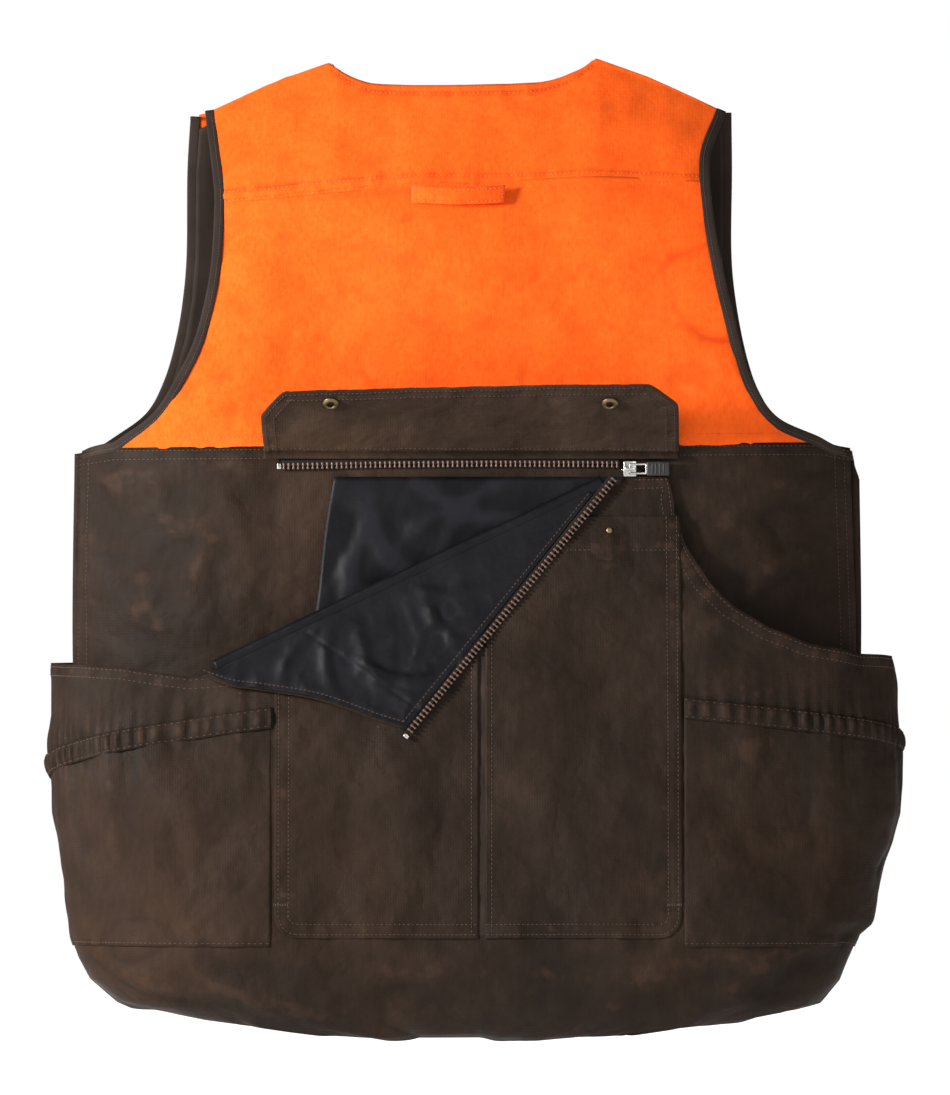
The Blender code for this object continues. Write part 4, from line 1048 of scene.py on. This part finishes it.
def liner_room(z):
    """How far the liner's wrinkles may stand off the back inside the mouth."""
    return np.interp(z, (-470, -430, -365, -318), (1.3, 3.0, 2.6, 0.7))


def make_liner():
    """Charcoal nylon down the back of the bag, round its bottom and up inside its panel."""
    left_edge = curve(((-99, -309), (-106, -350), (-114, -418), (-134, -520), (-135, -640), (-110, -706)))
    rows, facing, share = [], [], []
    for z, part in [*((z, "back") for z in np.arange(-309, -706, -4.0)), (-713.5, "bottom"),
                    *((z, "panel") for z in np.arange(-706, -316, 4.0))]:
        half = float(np.interp(z, (-708, -640, -500), (118, 140, 143)))
        low = 8.0 - half if part != "back" else float(np.interp(-z, -left_edge[:, 1], left_edge[:, 0]))
        x = low + np.linspace(0, 1, 110) * (8.0 + half - low)
        y = -56.0
        if part == "back":
            y = -53.55 - 0.2 * np.clip((-600 - z) / 20, 0, 1)
        elif part == "panel":
            z = np.minimum(z, np.minimum(np.interp(x, *FOLD_LINE), -318) - 8) if z > -440 else z
            y = 1.9 - bag_out(z)
        rows.append(point(x, y, z))
        facing.append({"back": (0, -1.0, 0), "bottom": (0, 0, 1.0), "panel": (0, 1.0, 0)}[part])
        share.append(1.0 if part == "back" else 0.2)
    grid, facing = np.array(rows), np.array(facing)[:, None]
    x, z = grid[..., 0], grid[..., 2]
    wrinkle = 0.8 * fbm(x, z, 34, 91) + 0.15 * fbm(x, z, 9, 94)
    wrinkle += folds(x, z, ((-80, -318, -20, -400, 8, 2.2), (-40, -312, 60, -340, 7, 1.8),
                            (-95, -370, -40, -420, 8, 2.2), (20, -312, -20, -370, 8, 1.8),
                            (-60, -330, -90, -420, 7, 1.8), (0, -330, -60, -372, 6, 1.6)))
    wrinkle *= np.array(share)[:, None]
    outer = grid + facing * np.clip(wrinkle + 0.5, 0.05, liner_room(z))[..., None]
    inner = outer - facing * 0.4
    made = make("visual_bag_liner", np.vstack([outer.reshape(-1, 3), inner.reshape(-1, 3)]),
                closed_faces(outer, inner), "nylon", shades(wrinkle, 4, 0.4))
    settle(made, "vest", ["bag_liner"])
    declare(made, outer, "hung")


# ---- The turned-down corner of the mouth

OPENING = ((-137, -311), (-145, -331), (-153, -355), (-163, -379), (-182, -412), (-193, -430),
           (-200.9, -451.2))
MOUTH = "bag_mouth"
CREASES = ((60, -316, -60, -372, 7, 1.4), (20, -314, -70, -345, 5, 1.2), (-60, -313, -40, -372, 6, 1.3),
           (-120, -320, -95, -390, 7, 1.6), (-90, -314, -120, -380, 5, 1.2), (-150, -360, -110, -400, 6, 1.4),
           (-100, -330, -20, -362, 6, -1.0), (-130, -330, -60, -380, 5, -0.9), (0, -325, -50, -372, 4, 0.8),
           (-170, -400, -120, -410, 6, 1.2))
ROLLS = (("mouth_panel_roll", "waxed", 2.5, 0.6, 330, "bag_mouth_panel"),
         ("mouth_liner_roll", "nylon", 3.45, 0.4, 338, "bag_mouth_liner"))


def corner_cloth(node, xz, low, relief, rows, face=1, **how):
    """A layer of the corner, laid out shut and turned down over the fold."""
    piece = cloth(node, xz, middle, low, body=MOUTH, relief=relief, normal=PLANE_NORMAL, turn=mouth_turn,
                  **how)
    sew(piece, rows, face=face)


def make_corner():
    def fold_line(a, b):
        return [fold_point(along, 4) for along in (a, (a + b) / 2, b)]

    fold = fold_line(350, 24)
    opening = curve(OPENING)
    x, z = patch(((-137, -311), (97, -311)), fold, opening, ((97, -311), fold[-1]), 2.0)
    corner_cloth("bag_mouth_panel", (x, z), 0.7, 0.15 * fbm(x, z, 30, 99), [offset(opening, -4)])
    fold = fold_line(344, 30)
    x, z = patch(((-138, -309.5), (88, -311.5)), fold, curve([*shift(OPENING[:-1], 1.5, 0), fold[0]]),
                 ((88, -311.5), fold[-1]), 1.8)
    rows = [[(-134, -314), (86, -314)], offset(opening, 5)]
    crease = 1.7 * folds(x, z, CREASES) + 0.8 * fbm(x, z, 26, 101) + 0.1 * fbm(x, z, 8, 104)
    crease = crease * np.clip(near(x, z, fold)[0] / 22, 0, 1)
    crease = crease + seams(x, z, [[(-118, -311), (-126, -411)]], 0.6, 0.5) + seams(x, z, rows, 0.3, 0.4)
    along = (x - FOLD_AT[0]) * FOLD_DIR[0] + (z - FOLD_AT[1]) * FOLD_DIR[1]
    under_flap = np.clip((along - 110) / 60, 0.1, 1.0)
    room = np.clip(bag_plane(z) - 54.9 - liner_room(z), 0.1, 4.2)
    corner_cloth("bag_mouth_liner", (x, z), -0.1, -np.clip(crease * under_flap, -0.55, room) - 0.55, rows, -1,
                 look="nylon", thick=0.4, rests_on=["bag_mouth_panel"])
    top, low = ((-142, POCKET_TOP), (28, POCKET_TOP)), (fold_point(292, 4), fold_point(90, 4))
    x, z = patch(top, low, (top[0], low[0]), (top[1], low[1]), 3.0)
    rows = [[(-136, -364), (-20, -364)]]
    corner_cloth("rear_pocket_corner", (x, z), 1.7, seams(x, z, rows, 0.2, 0.1), rows,
                 rests_on=["bag_mouth_panel"])
    # Rolls of cloth that bend round the fold line.
    ends = (tuple((FOLD_CENTRE + PLANE_NORMAL * by) * MM) for by in (-3.2, 3.2))
    joint = ("vest", MOUTH, *ends)
    for node, look, radius, thick, reach, slot in ROLLS:
        flat = [(d, -radius + 0.1 * min(abs(d), 4)) for d in (-6.0, -4.6, -3.0, -1.4)]
        angles = np.linspace(-math.pi / 2, math.pi / 2, 17)
        arc = [(radius * math.cos(a), radius * math.sin(a)) for a in angles]
        across = np.array([*flat, *arc, *((d, -h) for d, h in flat[::-1])])

        def place(index, far, across=across):
            d, h = across[index.astype(int), 0], across[index.astype(int), 1]
            off = (d + 0.5 * noise_along(far, 45, 111))[..., None]
            return FOLD_CENTRE + FOLD_AXIS * far[..., None] + FOLD_SIDE * off + PLANE_NORMAL * h[..., None]

        grid = np.meshgrid(np.arange(len(across)), np.linspace(18, reach, 170))
        cloth(node, grid, place, 0.0, look, thick=thick, joint=joint, held="folded", out=tuple(FOLD_SIDE),
              rests_on=["bag_mouth_panel"], nodes=[], slot=slot)


# ---- Zips

TOOTH_SIDES = 8


def tooth_shape():
    """(points, faces) of one tooth: a foot clamped on the tape, a neck and a rounded head, tip at zero."""
    rings = ((5.2, 0.7, 0.9), (4.9, 0.95, 1.25), (3.7, 0.95, 1.3), (2.8, 0.6, 1.25), (1.9, 0.62, 1.25),
             (1.2, 0.98, 1.25), (0.6, 0.95, 1.15), (0.2, 0.6, 0.8))
    points = []
    for away, half, thick in rings:
        for k in range(TOOTH_SIDES):
            a = math.pi * (2 * k + 1) / TOOTH_SIDES
            flat, up = np.clip((1.3 * math.cos(a), 1.3 * math.sin(a)), -1, 1)
            points.append((half * flat, thick * up, away))
    return np.array(points), capped_tube_faces(len(rings), TOOTH_SIDES)


def chain(node, ats, place, body, tape, turn=np.asarray):
    """Teeth and the tape they are clamped to. place takes (along, out, away from the tips)."""
    shape, faces = tooth_shape()
    points = turn(np.vstack([place(shape[:, 0] + at, shape[:, 1], shape[:, 2]) for at in ats]))
    first = points[:len(shape)]
    way = np.cross(first[1] - first[0], first[TOOTH_SIDES] - first[0])
    if way @ (first[0] - first.mean(axis=0)) < 0:
        faces = [face[::-1] for face in faces]
    faces = [[i + len(shape) * k for i in face] for k in range(len(ats)) for face in faces]
    solid(f"{node}_teeth", points, faces, "teeth", body, slot=node)
    along, away = np.arange(min(ats) - 1.8, max(ats) + 2.0, 1.8), np.array((2.9, 3.4, 4.2, 5.2, 6.0, tape))
    s, w = np.meshgrid(along, away)
    bead = 0.45 * np.exp(-((w - 3.3) / 0.8) ** 2)
    outer, inner = turn(place(s, 0.4 + bead, w)), turn(place(s, -0.4 - bead, w))
    points = np.vstack([outer.reshape(-1, 3), inner.reshape(-1, 3)])
    made = make(f"visual_{node}_tape", points, closed_faces(outer, inner), "tape")
    declare(settle(made, body, [node]), outer, "stretched")


def sway(x):
    """The slack left end of the open upper chain hangs a little lower."""
    return np.interp(x, (-141, -110, -60, 20, 90, 130), (-1.2, -0.7, 0.3, 0.9, 0.6, 0.0))


def make_back_zip():
    def upper(s, h, w):
        return point(s, CHAIN_Y - h, ZIP_Z + 0.25 + w + sway(s))

    def lower(s, h, w):
        return point(s, CHAIN_Y - 0.6 * h, ZIP_Z - 0.25 - w)

    chain("bag_zip_upper_chain", np.arange(-136.5, 113.5, PITCH), upper, "vest", 10.8)
    chain("bag_zip_lower_chain", np.arange(-134.7, 108.0, PITCH), lower, MOUTH, 7.2, mouth_turn)
    end = ZIP_Z + float(sway(-139.8))
    stop = [((-141.6, CHAIN_Y - 1.5, end + 0.8), (-138.4, CHAIN_Y + 1.5, end + 5.2))]
    solid("bag_zip_top_stop", *boxes(stop, 0.7), "nickel")
    points, quads = boxes([((-141.4, CHAIN_Y - 1.3, ZIP_Z - 4.8), (-138.4, CHAIN_Y + 1.2, ZIP_Z - 0.6))], 0.6)
    solid("bag_zip_lower_stop", mouth_turn(points), quads, "nickel", MOUTH)
    # The slider: two plates, the post between them, and a bridge that holds the pull.
    out = CHAIN_Y - 2.8
    plates = [((116.6, out - 0.2, -5.8), (126.2, out + 1.1, 5.8)),
              ((117.0, CHAIN_Y + 1.6, -5.8), (126.0, CHAIN_Y + 2.8, 5.8)),
              ((114.9, out, -1.2), (117.6, CHAIN_Y + 2.8, 0)),
              ((117.6, out - 2.8, -1.3), (119.1, out + 0.4, 1.3)),
              ((124.0, out - 2.8, -1.3), (125.5, out + 0.4, 1.3)),
              ((117.6, out - 3.2, -1.3), (125.5, out - 2.1, 1.3))]
    x, y = 121.5, out - 1.1
    bars = [((x - 0.7, y - 0.65, -4.2), (x + 0.7, y + 0.65, 4.2)),
            ((x - 0.7, y - 0.65, -4.2), (x + 13.2, y + 0.65, -2.6)),
            ((x - 0.7, y - 0.65, 2.6), (x + 13.2, y + 0.65, 4.2)),
            ((x + 11.4, y - 0.65, -4.2), (x + 13.2, y + 0.65, 4.2))]
    ribs = [((x + 12.4, y - 1.3, -5.3), (x + 29.4, y + 1.3, 5.3))]
    ribs += [((x + at, y - 1.7, -4.2), (x + at + 1.2, y + 1.7, 4.2)) for at in (16, 18.8, 21.6, 24.4)]
    for node, items, radius, look, body in (("bag_zip_slider", plates, 0.55, "nickel", "bag_slider"),
                                            ("bag_pull_link", bars, 0.6, "nickel", "bag_pull"),
                                            ("bag_pull_grip", ribs, 0.9, "rubber", "bag_pull")):
        points, quads = boxes([np.array(item) + (0, 0, ZIP_Z) for item in items], radius)
        solid(node, points, quads, look, body)


def make_front_zip():
    depth = 50.0 + SHELL_H + CLOTH / 2
    for side, hand, start in ((-1, "left", -697.0), (1, "right", -697.0 + PITCH / 2)):
        def place(s, h, w, side=side):
            return point(side * (0.25 + w), depth + h, s)

        chain(f"{hand}_front_zip_chain", np.arange(start, -177.0, PITCH), place, "vest", 6.6)
    out, top = depth + 2.8, -166.0
    plates = [((-5.8, depth + 1.6, top - 9), (5.8, out, top)),
              ((-5.8, depth - 2.8, top - 9), (5.8, depth - 1.6, top)),
              ((-0.5, depth - 2.6, top - 2), (0.5, out - 0.2, top + 4.0)),
              ((-1.2, out - 0.4, top - 1.8), (1.2, out + 3.1, top - 0.6)),
              ((-1.2, out - 0.4, top - 8.4), (1.2, out + 3.1, top - 7.2)),
              ((-1.2, out + 2.2, top - 8.4), (1.2, out + 3.1, top - 0.6))]
    solid("front_zip_slider", *boxes(plates, 0.5), "nickel", "front_slider")
    z, y = top - 4.5, out + 1.1
    bars = [((-4, y - 0.6, z - 0.6), (4, y + 0.6, z + 0.6)),
            ((-4, y - 0.6, z - 13), (-2.6, y + 0.6, z + 0.6)),
            ((2.6, y - 0.6, z - 13), (4, y + 0.6, z + 0.6)),
            ((-4.2, y - 0.7, z - 30), (4.2, y + 0.7, z - 11.6))]
    solid("front_zip_pull", *boxes(bars, 0.5), "nickel", "front_pull")


# ---- The storm flap and the snaps

CAP = ((0.0, 0.0), (5.8, 0.0), (6.1, 0.3), (6.1, 0.8), (5.4, 1.25), (4.2, 1.55), (2.2, 1.85), (0.0, 1.95))
SOCKET = ((2.7, 0.0), (5.9, 0.0), (6.2, 0.3), (6.2, 1.2), (5.9, 1.7), (5.3, 1.9), (5.0, 2.35), (4.5, 2.5),
          (3.4, 2.5), (2.9, 2.3), (2.7, 1.9), (2.7, 0.0))
STUD = ((0.0, 0.0), (4.9, 0.0), (4.9, 0.4), (4.4, 0.7), (2.3, 0.8), (1.8, 1.2), (2.0, 1.7), (2.25, 1.95),
        (2.1, 2.3), (1.2, 2.5), (0.0, 2.5))
SNAPS = {"left": -101.0, "right": 106.0}
STUD_Z = -349.4
FLAP_THICK = 1.4


def make_flap():
    low_left = curve(((-153, -334), (-151, -339), (-139, -357), (-134, -361)), 4)
    left = np.vstack([(-151, -295), (-152.5, -318), low_left])
    low_right = curve(((157, -344), (154.5, -350), (139, -366), (134, -369)), 4)
    right = np.vstack([(158, -295), (157.5, -330), low_right])
    bottom = curve(((-134, -361), (-60, -364), (60, -368), (134, -369)))
    x, z = patch(((-151, -295), (158, -295)), bottom, left, right, 1.8)
    outline = np.vstack([left, bottom, right[::-1]])
    rows = [offset(outline, 3), offset(outline, 9.5), [(-149, -299.5), (156, -299.5)]]
    relief = folds(x, z, ((-140, -300, -110, -350, 9, 0.9), (-60, -298, -30, -362, 14, 0.9),
                          (40, -298, 30, -364, 16, -0.7), (100, -300, 130, -360, 10, 0.9),
                          (-10, -300, 0, -360, 20, 0.6)))
    relief += 0.3 * fbm(x, z, 40, 121) + 0.1 * fbm(x, z, 12, 124)
    relief = relief * np.clip((-295 - z) / 12, 0, 1) + seams(x, z, rows, 0.25, 0.35)

    def shut(x, z):
        return middle(x, z) + PLANE_NORMAL * FLAP_IN

    flap = cloth("storm_flap", (x, z), shut, 0.0, "flap", "storm_flap", FLAP_THICK, np.clip(relief, -0.5, 1.2),
                 normal=PLANE_NORMAL, turn=flap_turn, edge=0.4)
    for face in (1, -1):
        sew(flap, rows, face=face)
    # The root of the flap comes out of the seam and rolls over the zip tape.
    section = curve(((-52.9, -284.5), (-54.2, -287.5), (-56.6, -290.6), (-58.8, -293.0), (-59.6, -295.6)), 5)
    s, k = np.meshgrid(np.linspace(-151.5, 158.5, 150), np.arange(len(section)))

    def root(s, k):
        return point(s, section[k.astype(int), 0], section[k.astype(int), 1])

    cloth("storm_flap_root", (s, k), root, 0.0, thick=0.8, relief=0.15 * noise_along(s, 30, 127), nodes=[],
          slot="storm_flap")


def make_snaps():
    for hand, x in SNAPS.items():
        stud_turn, stud_body = (mouth_turn, MOUTH) if hand == "left" else (np.asarray, "vest")
        for node, profile, height, way, turn, body in (
                ("bag_snap_stud", STUD, 2.65, 1, stud_turn, stud_body),
                ("flap_snap_socket", SOCKET, FLAP_IN + 0.1, -1, flap_turn, "storm_flap"),
                ("flap_snap_cap", CAP, FLAP_IN + 1.5, 1, flap_turn, "storm_flap")):
            points, quads = turned(profile, middle(x, STUD_Z) + PLANE_NORMAL * height, PLANE_NORMAL * way)
            solid(f"{node}_{hand}", turn(points), quads, "brass", body)


# ---- The front pockets

POCKET_DEEP = 22.0


def make_front_pocket(side, hand):
    face_y = 50.0 + SHELL_H + CLOTH + 0.4
    flange = float(body_depth(192.0, -540.0)) - 49.6
    section = curve(((42, 0), (48, 0.2), (49, 6), (49.4, 17), (51, 21), (56, 22), (120, 22.3), (184, 22),
                     (189, 21), (191, 17), (191.6, 6), (192, flange), (198, flange - 0.3)), 6)
    zs = np.r_[np.arange(-452, -612, -3.0), np.linspace(-612, -627, 12), -629, -631, -634]
    u, z = np.meshgrid(np.arange(len(section)), zs)

    def place(u, z):
        depth = section[u.astype(int), 1]
        full = np.sqrt(np.clip(1 - ((-610 - z) / 18.0).clip(0, 1) ** 2, 0, 1))
        body = np.minimum(depth, 0) + np.maximum(depth, 0) * np.maximum(full, 0.02)
        belly = 1.2 * np.clip(depth / POCKET_DEEP, 0, 1) * np.sin(np.clip((z + 626) / 174, 0, 1) * math.pi)
        return point(side * section[u.astype(int), 0], face_y + 1.8 + body - belly, z)

    relief = 0.35 * fbm(u * 4.0, z, 40, 131) + 0.1 * fbm(u * 4.0, z, 12, 134)
    relief += seams(u * 1.0, z, [[(0, at), (200, at)] for at in (-457, -463)], 0.25, 0.15)
    cloth(f"{hand}_front_pocket", (u, z), place, -0.9, thick=0.9, relief=np.clip(relief, -0.4, 0.4),
          out=FORWARD)
    face = face_y + POCKET_DEEP + 6.4
    line = curve(((-436, face_y + 4.6), (-441, face_y + 11), (-446, face - 5), (-454, face), (-480, face + 0.4),
                  (-512, face + 0.6)), 6)
    s, t = np.meshgrid(np.linspace(44, 192, 74), np.linspace(0, 1, 46))
    far = lengths(line)
    corner = 14.0 * np.clip((np.abs(s - 118) - 60) / 14, 0, 1) ** 2

    def flap_place(s, t):
        at = t * (far[-1] - corner)
        return point(side * s, np.interp(at, far, line[:, 1]), np.interp(at, far, line[:, 0]))

    down, end = -t * far[-1], -far[-1]
    rows = [[(47, -4), (47, end + 18), (60, end + 5), (176, end + 5), (189, end + 18), (189, -4)]]
    relief = seams(s, down, rows, 0.25, 0.2) + 0.2 * fbm(s, t * 80, 30, 137)
    flap = f"{hand}_pocket_flap"
    piece = cloth(flap, (s, t), flap_place, 0.0, body=flap, thick=FLAP_THICK, relief=np.clip(relief, -0.3, 0.5),
                  out=FORWARD)
    piece["z"] = down
    sew(piece, rows)
    low_stud = [(r, h * 0.65) for r, h in STUD]
    for part, profile, y, way, body in (
            ("socket", SOCKET, face + 0.1, -1, flap), ("cap", CAP, face + 2.0, 1, flap),
            ("stud", low_stud, face_y + POCKET_DEEP + 2.1, 1, "vest")):
        points, quads = turned(profile, np.array((side * 120.0, y, -498.0)), (0, way, 0))
        solid(f"{hand}_pocket_snap_{part}", points, quads, "brass", body)


# ---- Studio

AIM = Vector((0, 0, -0.36))
FLOOR_Z = -0.79


def light(name, at, size, power):
    lamp = bpy.data.lights.new(name, "AREA")
    lamp.shape = "DISK"
    lamp.size = size
    lamp.energy = power
    made = bpy.data.objects.new(name, lamp)
    bpy.context.scene.collection.objects.link(made)
    made.location = at
    made.rotation_euler = (AIM - Vector(at)).to_track_quat("-Z", "Y").to_euler()


def make_studio():
    """A pale floor, a soft sky that the camera sees as white, and three lights."""
    floor = bpy.data.meshes.new("floor")
    floor.from_pydata([(x, y, FLOOR_Z) for x, y in ((-6, -6), (6, -6), (6, 6), (-6, 6))], [], [(0, 1, 2, 3)])
    made = bpy.data.objects.new("floor", floor)
    bpy.context.scene.collection.objects.link(made)
    glow = {"Emission_Color": (1.0, 1.0, 1.0), "Emission_Strength": 0.93, "Specular_IOR_Level": 0.0}
    floor.materials.append(Look("pale_floor").done((0.3, 0.3, 0.3), 0.9, None, **glow))
    world = bpy.data.worlds.new("studio")
    bpy.context.scene.world = world
    world.use_nodes = True
    tree = world.node_tree
    sky = tree.nodes["Background"]
    white = tree.nodes.new("ShaderNodeBackground")
    for background, strength in ((sky, 0.24), (white, 1.0)):
        background.inputs["Color"].default_value = (1, 1, 1, 1)
        background.inputs["Strength"].default_value = strength
    path = tree.nodes.new("ShaderNodeLightPath")
    mix = tree.nodes.new("ShaderNodeMixShader")
    for k, output in enumerate((path.outputs["Is Camera Ray"], sky.outputs[0], white.outputs[0])):
        tree.links.new(output, mix.inputs[k])
    tree.links.new(mix.outputs[0], tree.nodes["World Output"].inputs["Surface"])
    light("key", (-1.35, -0.9, 0.0), 0.3, 48)
    light("fill", (1.0, -2.3, 0.3), 1.2, 10)
    light("front", (0.6, 2.2, 0.6), 1.2, 40)


make_back()
make_linings()
make_loop()
for hand_side, hand_name in ((-1, "left"), (1, "right")):
    make_front(hand_side, hand_name)
    make_binding(hand_side, hand_name)
    make_side_pocket(hand_name)
    make_front_pocket(hand_side, hand_name)
make_bag()
make_rear_pocket()
make_liner()
make_corner()
make_back_zip()
make_front_zip()
make_flap()
make_snaps()
sew_all()
make_studio()
